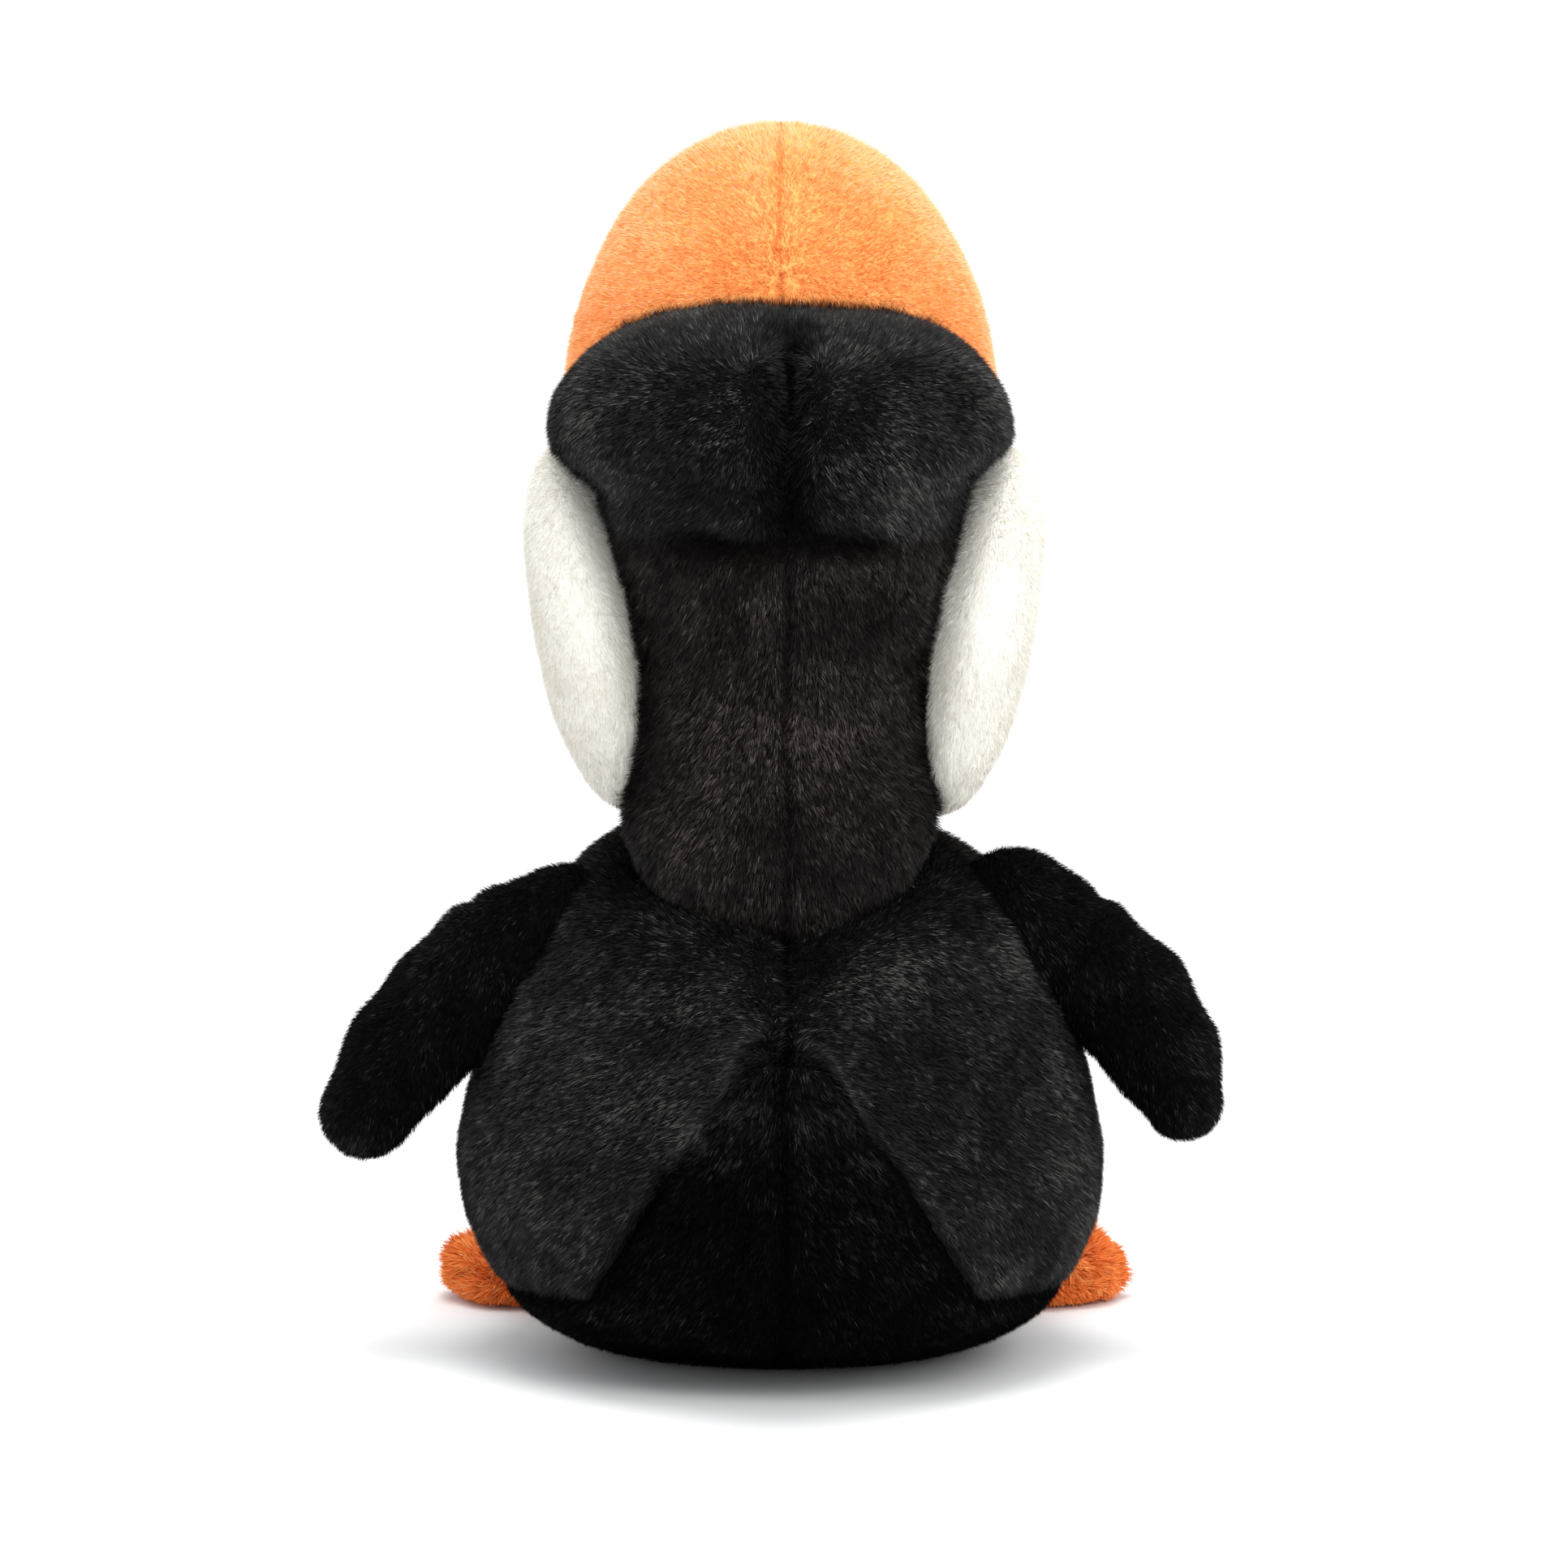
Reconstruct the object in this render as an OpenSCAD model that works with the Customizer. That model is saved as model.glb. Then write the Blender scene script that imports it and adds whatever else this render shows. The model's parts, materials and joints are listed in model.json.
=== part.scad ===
// Seated plush bird: a stuffed body with a pointed tail, a stuffed head on a soft neck,
// a large stuffed beak, padded white cheeks, two flipper wings and two webbed feet.
// Millimetres. +Z is up, the beak points to -Y, and the origin is the middle of the flat seat.

/* [Body] */
// Full width of the seated body
body_w = 156; // [150:1:162]
// Height of the widest level of the body
belly_z = 52; // [50:1:54]
// Height from the widest level to where the shoulders would meet
shoulder_rise = 90; // [86:1:94]
// Height of the neckline at the body's middle
neckline_z = 122; // [121:0.5:124]
// How much the neckline falls towards the back, in degrees
neckline_fall = 15; // [12:1:17]
// Height of the seam between the seat panel and the upper panels
seat_seam_z = 19; // [16:1:21]
// Distance of the tummy panel's side seam in front of the middle
side_seam_y = 18; // [12:1:24]

/* [Tail] */
// How far the tail's tip stands behind the middle
tail_y = 110; // [106:1:114]
// Height of the tail's tip
tail_z = 90; // [87:1:92]
// Half width of the tail's root
tail_half_w = 44; // [42:1:46]

/* [Head] */
// Radius of the round lower end of the head
nape_r = 38.5; // [37:0.5:39.5]
// Height of the middle of the round lower end, which is the neck pivot
nape_z = 146; // [145:0.5:147]
// Radius of the upper head
crown_r = 52; // [50:0.5:53]
// Height of the middle of the upper head
crown_z = 202; // [200:1:204]
// Distance of the head's axis behind the middle of the seat
head_y = 12; // [11:1:13]
// Height of the cross seam between crown and nape
nape_seam_z = 203; // [200:0.5:205]

/* [Cheeks] */
// Half thickness of a padded cheek
cheek_half_w = 18.5; // [17.5:0.5:19]
// Radius of a cheek's outline seen from its side
cheek_r = 41; // [39:0.5:42]
// Distance of a cheek's middle from the head's mid-plane
cheek_x = 44; // [43:0.5:45]
// Height of a cheek's middle
cheek_z = 178; // [177:0.5:180]
// Distance of a cheek's middle in front of the seat's middle
cheek_y = 3; // [2:1:5]

/* [Beak] */
// Half width, half depth and half height of the beak's root
beak_half = [54, 40, 74];
// Distance of the beak's root in front of the seat's middle
beak_y = 34; // [32:1:36]
// Height of the middle of the beak's root
beak_z = 219; // [217:1:221]
// Distance of the beak's tip ball in front of the seat's middle
beak_tip_y = 106; // [100:1:110]
// Height of the beak's tip ball
beak_tip_z = 184; // [180:1:188]
// Radius of the beak's tip
beak_tip_r = 15; // [13:0.5:17]
// Distance of the ball that arches the beak's ridge in front of the seat's middle
beak_ridge_y = 78; // [74:1:82]
// Height of that ball
beak_ridge_z = 238; // [234:1:242]
// Radius of that ball
beak_ridge_r = 30; // [27:1:32]
// Height of the seam between upper and lower beak
mouth_z = 180; // [177:1:183]

/* [Eyes] */
// Radius of an eye button
eye_r = 6.5; // [6:0.25:7]
// How far an eye stands out of the cheek
eye_rise = 4; // [3.5:0.25:5]
// Radius of an eye's post
post_r = 2.2; // [2:0.1:2.4]
// Distance of an eye in front of the cheek's middle
eye_forward = 12; // [8:1:14]
// Radius of the locking washer behind an eye
washer_r = 7; // [6.5:0.25:7.5]

/* [Wings] */
// Half thickness of a wing
wing_r = 7; // [6.5:0.25:7]
// Distance of the wings behind the middle
wing_y = 8; // [6:1:10]
// Upper end of a wing's root seam, as width and height
wing_root_top = [52, 120];
// Lower end of a wing's root seam, as width and height
wing_root_low = [78, 78];
// Ball centres that shape the rest of a wing, as width and height
wing_outline = [[73, 101], [92.5, 82], [102.5, 60], [86, 64]];

/* [Feet] */
// How far each foot turns outwards, in degrees
foot_splay = 40; // [36:1:42]
// Distance of a foot's hinge seam from the seat's middle
foot_root = 67.5; // [67:0.5:69]
// Height of a foot's hinge seam
foot_seam_z = 15; // [14:0.5:15.5]
// Length of a foot from its seam to the toe ball
foot_l = 42; // [40:1:46]
// Distance from the middle toe to the outer toes
toe_spread = 16; // [15:1:19]
// Radius of the toes
toe_r = 9; // [8.5:0.25:9.5]

/* [Fabric] */
// Thickness of the plush fabric of body, head and beak
plush_t = 3; // [2.5:0.25:3.5]
// Thickness of the plush fabric of wings and feet
limb_t = 2.4; // [2:0.2:2.6]
// Thickness of the pellet pouch's cloth
pouch_t = 1; // [0.8:0.1:1.2]

/* [Hidden] */

$fn = 96;
left = 1;
right = -1;
seam = 0.2;             // gap between two panels at a seam
loft = 0.3;             // gap between a panel and the stuffing behind it
swing = 0.4;            // gap between solids that move on each other
big = 400;              // larger than the whole object
ball_fn = 24;           // facets of the balls inside a hull
belly_fullness = 2.6;   // exponent of the rounded lower half of the body
seat_flat = 3;          // how deep the rounded bottom is cut flat
band = 15;              // angle of one band of a turned profile
tail_root_y = 20;       // where the tail's edges start inside the body
tail_under_z = -8;      // height of the tail's underside there
tail_over_z = 98;       // height of the tail's top there
tail_tip_half = 5;      // half width of the tail's tip
tail_base_z = 24;       // height of the tail's root corners
seat_base_z = 10;       // height below the seat seam from which the seat panel climbs
under_slope = (tail_z - tail_under_z) / (tail_y - tail_root_y);
over_slope = (tail_over_z - tail_z) / (tail_y - tail_root_y);
side_slope = (tail_half_w - tail_tip_half) / (tail_z - tail_base_z);
cup_r = nape_r + swing;     // inner radius of the neck stuffing's cup
plug_r = 16;
plug_depth = cup_r + 6;
plug_h = 11;
taper = asin((crown_r - nape_r) / (crown_z - nape_z));
eye_x = cheek_x + cheek_half_w * sqrt(1 - pow(eye_forward / cheek_r, 2));
eye_turn = atan2(eye_forward / pow(cheek_r, 2), (eye_x - cheek_x) / pow(cheek_half_w, 2));
post_l = 15;
washer_z = -(plush_t + 1);
washer_t = 1.6;
pouch_half = [44, 42, 20];
pouch_z = 27;
foot_root_r = 3.5;
foot_root_half = 14;
heel_r = 6;
sole_seam_z = 6;

// Draws its children on the left, or mirrored on the right.
module on_side(side) {
    if (side == left) children();
    else mirror([1, 0, 0]) children();
}

// ---------------------------------------------------------------- body

// Half outline of the body: a full rounded lower half and an elliptic upper half.
function body_outline(inset) = concat(
    [for (t = [-90:band:0])
        [(body_w / 2 - inset) * pow(cos(t), 2 / belly_fullness),
         belly_z - (belly_z + seat_flat - inset) * pow(-sin(t), 2 / belly_fullness)]],
    [for (t = [band:band:90])
        [(body_w / 2 - inset) * cos(t), belly_z + (shoulder_rise - inset) * sin(t)]]);

// Side outline of the tail: an underside that climbs to the tip and an almost level top.
function tail_side(inset) =
    let (low = tail_under_z + inset * sqrt(1 + pow(under_slope, 2)),
         high = tail_over_z - inset * sqrt(1 + pow(over_slope, 2)),
         reach = (high - low) / (under_slope + over_slope))
    [[tail_root_y, low], [tail_root_y + reach, low + reach * under_slope], [tail_root_y, high]];

// Half width of the tail at a height, at least a hair so that the tip stays a face.
function tail_half(z, inset) =
    max(tail_tip_half + (tail_z - z) * side_slope - inset * sqrt(1 + pow(side_slope, 2)), 0.5);

// The tail's outline seen from behind, a triangle with a narrow tip, run along the tail.
module tail_prism(inset, base_z) {
    foot = tail_half(base_z, inset);
    tip = tail_half(tail_over_z, inset);
    translate([0, tail_y + tail_root_y, 0]) rotate([90, 0, 0]) linear_extrude(tail_y)
        polygon([[-foot, base_z], [foot, base_z], [tip, tail_over_z], [-tip, tail_over_z]]);
}

module tail_form(inset) {
    intersection() {
        tail_prism(inset, tail_base_z);
        rotate([90, 0, 90]) linear_extrude(big, center = true) polygon(tail_side(inset));
    }
}

module above_neckline(inset) {
    translate([0, 0, neckline_z - inset]) rotate([-neckline_fall, 0, 0])
        translate([-big / 2, -big / 2, 0]) cube([big, big, big]);
}

module body_form(inset) {
    difference() {
        union() {
            rotate_extrude() polygon(body_outline(inset));
            tail_form(inset);
        }
        above_neckline(inset);
        translate([-big / 2, -big / 2, inset - big]) cube([big, big, big]);
    }
}

// Room around the neck's ball, the wings' root seams and the feet's root seams.
module body_sockets() {
    translate([0, head_y, nape_z]) sphere(cup_r + 0.3);
    for (side = [left, right]) {
        on_side(side) wing_axis_rod(wing_r + 2 * swing);
        on_side(side) foot_axis_rod(foot_root_r + swing);
    }
}

module body_skin() {
    difference() {
        body_form(0);
        body_form(plush_t);
        body_sockets();
    }
}

// Space of the seat panel: everything under the seat seam, and the tail's underside up to its tip.
module seat_zone(gap) {
    translate([-big / 2, -big / 2, -big / 2]) cube([big, big, big / 2 + seat_seam_z + gap]);
    intersection() {
        tail_prism(plush_t - gap - seam, seat_base_z);
        rotate([90, 0, 90]) linear_extrude(big, center = true)
            polygon([[tail_root_y, -big / 2],
                     [tail_root_y + big / 2, -big / 2],
                     [tail_root_y + big / 2, under_cut(big / 2, gap)],
                     [tail_root_y, under_cut(0, gap)]]);
    }
}

function under_cut(reach, gap) =
    tail_under_z + reach * under_slope + (plush_t + seam + gap) * sqrt(1 + pow(under_slope, 2));

module back_panel(side) {
    color([0.09, 0.09, 0.09]) on_side(side) difference() {
        intersection() {
            body_skin();
            translate([seam / 2, -side_seam_y, -1]) cube([big, big, big]);
        }
        seat_zone(seam);
    }
}

module tummy_panel() {
    color([0.95, 0.94, 0.91]) difference() {
        intersection() {
            body_skin();
            translate([-big / 2, -side_seam_y - seam - big, -1]) cube([big, big, big]);
        }
        seat_zone(seam);
    }
}

module seat_panel() {
    color([0.06, 0.06, 0.06]) intersection() {
        body_skin();
        seat_zone(0);
    }
}

module pouch_form(inset) {
    translate([0, 0, pouch_z])
        scale([(pouch_half[0] - inset) / 10, (pouch_half[1] - inset) / 10, (pouch_half[2] - inset) / 10])
            sphere(10);
}

module body_stuffing() {
    color([0.93, 0.93, 0.9]) difference() {
        body_form(plush_t + loft);
        body_sockets();
        neck_plug(swing);
        pouch_form(-loft);
    }
}

module pellet_pouch() {
    color([0.8, 0.78, 0.72]) difference() {
        pouch_form(0);
        pouch_form(pouch_t);
    }
}

module pellets() {
    color([0.75, 0.75, 0.73]) pouch_form(pouch_t + loft);
}

// ---------------------------------------------------------------- neck

// Firm plug of stuffing under the head's ball, round about the neck's upright axis.
module neck_plug(gap) {
    translate([0, head_y, nape_z - plug_depth - gap]) cylinder(r = plug_r + gap, h = plug_h + gap);
}

module neck_stuffing() {
    color([0.9, 0.9, 0.87]) difference() {
        neck_plug(0);
        translate([0, head_y, nape_z]) sphere(cup_r);
    }
}

// ---------------------------------------------------------------- head

// Half outline of the head: a small ball below and a large one above, joined by their tangent.
function head_outline(inset) = concat(
    [for (i = [0:6]) let (t = -90 + i * (90 - taper) / 6)
        [(nape_r - inset) * cos(t), nape_z + (nape_r - inset) * sin(t)]],
    [for (i = [0:8]) let (t = -taper + i * (90 + taper) / 8)
        [(crown_r - inset) * cos(t), crown_z + (crown_r - inset) * sin(t)]]);

module head_form(inset) {
    translate([0, head_y, 0]) rotate_extrude() polygon(head_outline(inset));
}

// A lens turned about the cross axis of the head.
module cheek_form(inset) {
    translate([cheek_x, -cheek_y, cheek_z]) rotate([0, 90, 0]) rotate_extrude()
        polygon([for (t = [-90:band:90]) [(cheek_r - inset) * cos(t), (cheek_half_w - inset) * sin(t)]]);
}

module both_cheeks(inset) {
    cheek_form(inset);
    mirror([1, 0, 0]) cheek_form(inset);
}

module head_skin() {
    difference() {
        head_form(0);
        head_form(plush_t);
        both_cheeks(-seam);
    }
}

module crown(side) {
    color([0.12, 0.12, 0.12]) on_side(side) intersection() {
        head_skin();
        translate([seam / 2, -big, nape_seam_z]) cube([big, 2 * big, big]);
    }
}

module nape(side) {
    color([0.14, 0.12, 0.11]) on_side(side) intersection() {
        head_skin();
        translate([seam / 2, seam, nape_seam_z - seam - big]) cube([big, big, big]);
    }
}

module face_panel() {
    color([0.95, 0.94, 0.91]) intersection() {
        head_skin();
        translate([-big / 2, -big, 0]) cube([big, big, nape_seam_z - seam]);
    }
}

module cheek(side) {
    color([0.96, 0.95, 0.92]) on_side(side) difference() {
        cheek_form(0);
        cheek_form(plush_t);
        head_form(plush_t);
        at_eye() cylinder(r = post_r + seam, h = 4 * plush_t, center = true);
    }
}

module head_stuffing() {
    color([0.93, 0.93, 0.9]) difference() {
        union() {
            head_form(plush_t + loft);
            both_cheeks(plush_t + loft);
        }
        for (side = [left, right])
            on_side(side) at_eye() translate([0, 0, -post_l - 1])
                cylinder(r = washer_r + loft, h = post_l);
    }
}

// ---------------------------------------------------------------- beak

module beak_form(inset) {
    hull() {
        translate([0, -beak_y, beak_z])
            scale([(beak_half[0] - inset) / 10, (beak_half[1] - inset) / 10, (beak_half[2] - inset) / 10])
                sphere(10, $fn = 32);
        translate([0, -beak_ridge_y, beak_ridge_z]) sphere(beak_ridge_r - inset, $fn = ball_fn);
        translate([0, -beak_tip_y, beak_tip_z]) sphere(beak_tip_r - inset, $fn = ball_fn);
    }
}

module beak_skin() {
    difference() {
        beak_form(0);
        beak_form(plush_t);
        head_form(-seam);
        both_cheeks(-seam);
    }
}

module beak_upper(side) {
    color([0.98, 0.64, 0.35]) on_side(side) intersection() {
        beak_skin();
        translate([seam / 2, -big / 2, mouth_z]) cube([big, big, big]);
    }
}

module beak_lower() {
    color([0.93, 0.52, 0.22]) intersection() {
        beak_skin();
        translate([-big / 2, -big / 2, mouth_z - seam - big]) cube([big, big, big]);
    }
}

module beak_stuffing() {
    color([0.93, 0.93, 0.9]) difference() {
        beak_form(plush_t + loft);
        head_form(-seam);
        both_cheeks(-seam);
    }
}

// ---------------------------------------------------------------- eyes

// Puts its children on a cheek with +Z out of the cheek.
module at_eye() {
    translate([eye_x, -cheek_y - eye_forward, cheek_z]) rotate([0, 90, -eye_turn]) children();
}

module eye(side) {
    dome_r = (pow(eye_r, 2) + pow(eye_rise, 2)) / (2 * eye_rise);
    color([0.02, 0.02, 0.02]) on_side(side) at_eye() {
        intersection() {
            translate([0, 0, eye_rise + seam - dome_r]) sphere(dome_r);
            translate([0, 0, seam]) cylinder(r = 2 * eye_r, h = 2 * eye_rise);
        }
        translate([0, 0, -post_l]) cylinder(r = post_r, h = post_l + eye_rise / 2);
    }
}

module eye_washer(side) {
    color([0.85, 0.85, 0.85]) on_side(side) at_eye() translate([0, 0, washer_z - washer_t])
        difference() {
            cylinder(r = washer_r, h = washer_t);
            translate([0, 0, -1]) cylinder(r = post_r + 0.05, h = washer_t + 2);
        }
}

// ---------------------------------------------------------------- wings

module wing_form(inset) {
    hull() for (p = concat([wing_root_top, wing_root_low], wing_outline))
        translate([p[0], wing_y, p[1]]) sphere(wing_r - inset, $fn = ball_fn);
}

// A rod along a wing's root seam, which is the line the wing swings on.
module wing_axis_rod(r) {
    run = wing_root_low - wing_root_top;
    extra = r / norm(run);
    start = wing_root_top - extra * run;
    translate([start[0], wing_y, start[1]])
        rotate([0, atan2(run[0], run[1]), 0]) cylinder(r = r, h = norm(run) * (1 + 2 * extra));
}

module wing_skin() {
    difference() {
        wing_form(0);
        wing_form(limb_t);
    }
}

module wing_top(side) {
    color([0.07, 0.07, 0.07]) on_side(side) intersection() {
        wing_skin();
        translate([0, wing_y + seam / 2, 0]) cube([big, big, big]);
    }
}

module wing_under(side) {
    color([0.07, 0.07, 0.07]) on_side(side) intersection() {
        wing_skin();
        translate([0, wing_y - seam / 2 - big, 0]) cube([big, big, big]);
    }
}

module wing_stuffing(side) {
    color([0.93, 0.93, 0.9]) on_side(side) wing_form(limb_t + loft);
}

// ---------------------------------------------------------------- feet

// Puts its children at a foot's seam: -Y runs along the foot, X along the seam.
module at_foot() {
    rotate([0, 0, foot_splay]) translate([0, -foot_root, 0]) children();
}

module foot_form(inset) {
    at_foot() hull() {
        for (x = [-foot_root_half, foot_root_half]) {
            translate([x, 0, foot_seam_z]) sphere(foot_root_r - inset, $fn = ball_fn);
            translate([0.8 * x, -8, heel_r]) sphere(heel_r - inset, $fn = ball_fn);
        }
        for (x = [-toe_spread, toe_spread])
            translate([x, 6 - foot_l, toe_r]) sphere(toe_r - inset, $fn = ball_fn);
        translate([0, -foot_l, toe_r]) sphere(toe_r - inset, $fn = ball_fn);
    }
}

// A rod along a foot's seam, which is the line the foot swings on.
module foot_axis_rod(r) {
    half = foot_root_half + r;
    at_foot() translate([-half, 0, foot_seam_z]) rotate([0, 90, 0]) cylinder(r = r, h = 2 * half);
}

module foot_skin() {
    difference() {
        foot_form(0);
        foot_form(limb_t);
    }
}

module foot_upper(side) {
    color([0.85, 0.44, 0.2]) on_side(side) intersection() {
        foot_skin();
        translate([-big / 2, -big / 2, sole_seam_z]) cube([big, big, big]);
    }
}

module foot_sole(side) {
    color([0.8, 0.4, 0.18]) on_side(side) intersection() {
        foot_skin();
        translate([-big / 2, -big / 2, sole_seam_z - seam - big]) cube([big, big, big]);
    }
}

module foot_stuffing(side) {
    color([0.93, 0.93, 0.9]) on_side(side) foot_form(limb_t + loft);
}

// ---------------------------------------------------------------- nodes

back_panel(left);  // back_panel_left
back_panel(right);  // back_panel_right
tummy_panel();
seat_panel();
body_stuffing();
pellet_pouch();
pellets();
neck_stuffing();
crown(left);  // crown_left
crown(right);  // crown_right
nape(left);  // nape_left
nape(right);  // nape_right
face_panel();
cheek(left);  // cheek_left
cheek(right);  // cheek_right
head_stuffing();
beak_upper(left);  // beak_upper_left
beak_upper(right);  // beak_upper_right
beak_lower();
beak_stuffing();
eye(left);  // eye_left
eye(right);  // eye_right
eye_washer(left);  // eye_washer_left
eye_washer(right);  // eye_washer_right
wing_top(left);  // wing_left_top
wing_under(left);  // wing_left_under
wing_stuffing(left);  // wing_left_stuffing
wing_top(right);  // wing_right_top
wing_under(right);  // wing_right_under
wing_stuffing(right);  // wing_right_stuffing
foot_upper(left);  // foot_left_upper
foot_sole(left);  // foot_left_sole
foot_stuffing(left);  // foot_left_stuffing
foot_upper(right);  // foot_right_upper
foot_sole(right);  // foot_right_sole
foot_stuffing(right);  // foot_right_stuffing
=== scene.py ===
"""A seated plush bird: black back, white cheek pads, a tall orange bill and two orange feet.

Every form is worked out in millimetres and becomes a mesh in metres. A form is a field that is negative
inside; rays from a point inside it find its surface. The surface is cut into sewn panels, and pile is grown
on each one.
"""
import json
import math

import bpy
import mathutils
import numpy as np
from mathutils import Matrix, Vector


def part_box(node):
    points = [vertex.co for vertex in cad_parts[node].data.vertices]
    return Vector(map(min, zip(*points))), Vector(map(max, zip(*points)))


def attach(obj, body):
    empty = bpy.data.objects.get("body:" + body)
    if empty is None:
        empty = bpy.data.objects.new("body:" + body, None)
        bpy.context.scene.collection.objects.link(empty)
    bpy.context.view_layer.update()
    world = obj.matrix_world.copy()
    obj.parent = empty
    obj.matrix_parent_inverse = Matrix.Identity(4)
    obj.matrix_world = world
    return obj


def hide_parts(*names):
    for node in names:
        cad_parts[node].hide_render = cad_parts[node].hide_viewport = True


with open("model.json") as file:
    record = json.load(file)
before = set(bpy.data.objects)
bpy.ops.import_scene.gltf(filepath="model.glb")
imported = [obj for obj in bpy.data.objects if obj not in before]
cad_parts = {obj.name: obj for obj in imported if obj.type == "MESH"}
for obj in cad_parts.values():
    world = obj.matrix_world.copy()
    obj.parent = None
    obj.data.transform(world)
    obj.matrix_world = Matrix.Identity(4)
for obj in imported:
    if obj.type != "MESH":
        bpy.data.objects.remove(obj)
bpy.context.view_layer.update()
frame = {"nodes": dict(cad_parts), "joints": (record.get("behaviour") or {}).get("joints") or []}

MM = 0.001
SIDES = (("left", 1.0), ("right", -1.0))
MIRROR = np.array((-1.0, 1.0, 1.0))


def box_mm(node):
    low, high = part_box(node)
    return np.array(low) / MM, np.array(high) / MM


# ---- driving sizes, from the frame
HEAD_Y = 12.0  # the middle of the head and neck, front to back
CREASE_Z = box_mm("crown_left")[0][2]  # the seam across the head, between crown and nape
BEAK_TOP = box_mm("beak_upper_left")[1][2]
EYE_LOW, EYE_HIGH = box_mm("eye_left")
EYE_CENTRE = (EYE_LOW + EYE_HIGH) / 2
EYE_R = (EYE_HIGH[2] - EYE_LOW[2]) / 2
POUCH_LOW, POUCH_HIGH = box_mm("pellet_pouch")

SKIN = 2.0  # thickness of a panel on body, head and bill
LIMB_SKIN = 1.6  # the same on wings and feet
PILE = 2.2  # length of a strand


# ---- small maths
def unit(v):
    return v / np.maximum(np.linalg.norm(v, axis=-1, keepdims=True), 1e-9)


def smooth_min(a, b, k):
    h = np.clip(0.5 + 0.5 * (b - a) / k, 0.0, 1.0)
    return b + (a - b) * h - k * h * (1.0 - h)


def smooth_max(a, b, k):
    return -smooth_min(-a, -b, k)


def hump(d, width):
    return np.exp(-((d / width) ** 2))


def ramp(x, start, end):
    t = np.clip((x - start) / (end - start), 0.0, 1.0)
    return t * t * (3.0 - 2.0 * t)


def profile(points, samples=500):
    """A smooth curve through points (position, width), as two arrays for np.interp."""
    p = np.array(points, float)
    p = np.vstack((2 * p[0] - p[1], p, 2 * p[-1] - p[-2]))
    out = []
    spans = len(p) - 3
    for i in range(spans):
        t = np.linspace(0.0, 1.0, samples // spans, endpoint=(i == spans - 1))[:, None]
        a, b, c, d = p[i], p[i + 1], p[i + 2], p[i + 3]
        square = 2 * a - 5 * b + 4 * c - d
        cube = 3 * b - a - 3 * c + d
        out.append(0.5 * (2 * b + (c - a) * t + square * t**2 + cube * t**3))
    curve = np.vstack(out)
    order = np.argsort(curve[:, 0], kind="stable")
    return curve[order, 0], np.maximum(curve[order, 1], 0.01)


def read(curve, x):
    return np.interp(x, curve[0], curve[1], left=0.01, right=0.01)


NOISE_TABLE = np.random.default_rng(7).random(65536)


def noise(p, cell, seed=0):
    """Smooth value noise from -1 to 1, with features about one cell across."""
    q = p / cell + 100.0 + 17.3 * seed
    i = np.floor(q).astype(np.int64)
    f = q - i
    f = f * f * (3.0 - 2.0 * f)
    total = 0.0
    for dx in (0, 1):
        for dy in (0, 1):
            for dz in (0, 1):
                h = (i[..., 0] + dx) * 73856093 ^ (i[..., 1] + dy) * 19349663 ^ (i[..., 2] + dz) * 83492791
                value = NOISE_TABLE[(h ^ (seed * 9176)) & 65535]
                wx = f[..., 0] if dx else 1.0 - f[..., 0]
                wy = f[..., 1] if dy else 1.0 - f[..., 1]
                wz = f[..., 2] if dz else 1.0 - f[..., 2]
                total = total + value * wx * wy * wz
    return total * 2.0 - 1.0


# ---- surfaces
class Surface:
    """Points in mm and four-cornered faces, with smooth normals."""

    def __init__(self, verts, quads):
        self.verts = np.asarray(verts, float)
        self.quads = np.asarray(quads, np.int64)
        self.refresh()

    def refresh(self):
        v, q = self.verts, self.quads
        across = np.cross(v[q[:, 2]] - v[q[:, 0]], v[q[:, 3]] - v[q[:, 1]])
        normals = np.zeros_like(v)
        for k in range(4):
            np.add.at(normals, q[:, k], across)
        self.normals = unit(normals)
        self.areas = 0.5 * np.linalg.norm(across, axis=1)
        self.centres = v[q].mean(axis=1)

    def mirror(self):
        """Turns a left form into a right one."""
        self.verts = self.verts * MIRROR
        self.quads = self.quads[:, ::-1]
        self.refresh()

    def push(self, distance):
        self.verts = self.verts + self.normals * np.asarray(distance)[:, None]
        self.refresh()

    def snap(self, seam, reach):
        """Moves the points next to a seam onto it. seam(p) is about the distance in mm, with a sign."""
        step = 0.05
        value = seam(self.verts)
        grad = np.stack([(seam(self.verts + np.eye(3)[k] * step) - value) / step for k in range(3)], axis=1)
        grad = grad - self.normals * np.sum(grad * self.normals, axis=1, keepdims=True)
        size = np.maximum(np.sum(grad**2, axis=1), 0.05)
        move = -grad * (value / size)[:, None]
        near = (np.abs(value) / np.sqrt(size) < reach) & (np.linalg.norm(move, axis=1) < 2.0 * reach)
        self.verts[near] += move[near]
        self.refresh()
        return near


def ball_grid(res):
    """Unit directions spread evenly over a sphere, as a grid of squares on each side of a cube."""
    t = np.tan(np.linspace(-math.pi / 4, math.pi / 4, res + 1))
    u, v = np.meshgrid(t, t, indexing="ij")
    one = np.ones_like(u)
    faces = ((one, u, v), (-one, v, u), (v, one, u), (u, -one, v), (u, v, one), (v, u, -one))
    points = np.concatenate([np.stack(face, axis=-1).reshape(-1, 3) for face in faces])
    index = np.arange((res + 1) ** 2).reshape(res + 1, res + 1)
    cell = np.stack((index[:-1, :-1], index[1:, :-1], index[1:, 1:], index[:-1, 1:]), axis=-1).reshape(-1, 4)
    quads = np.concatenate([cell + k * (res + 1) ** 2 for k in range(6)])
    key = np.round(points * 1e6).astype(np.int64)
    _, first, inverse = np.unique(key, axis=0, return_index=True, return_inverse=True)
    return unit(points[first]), inverse.ravel()[quads]


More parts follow.
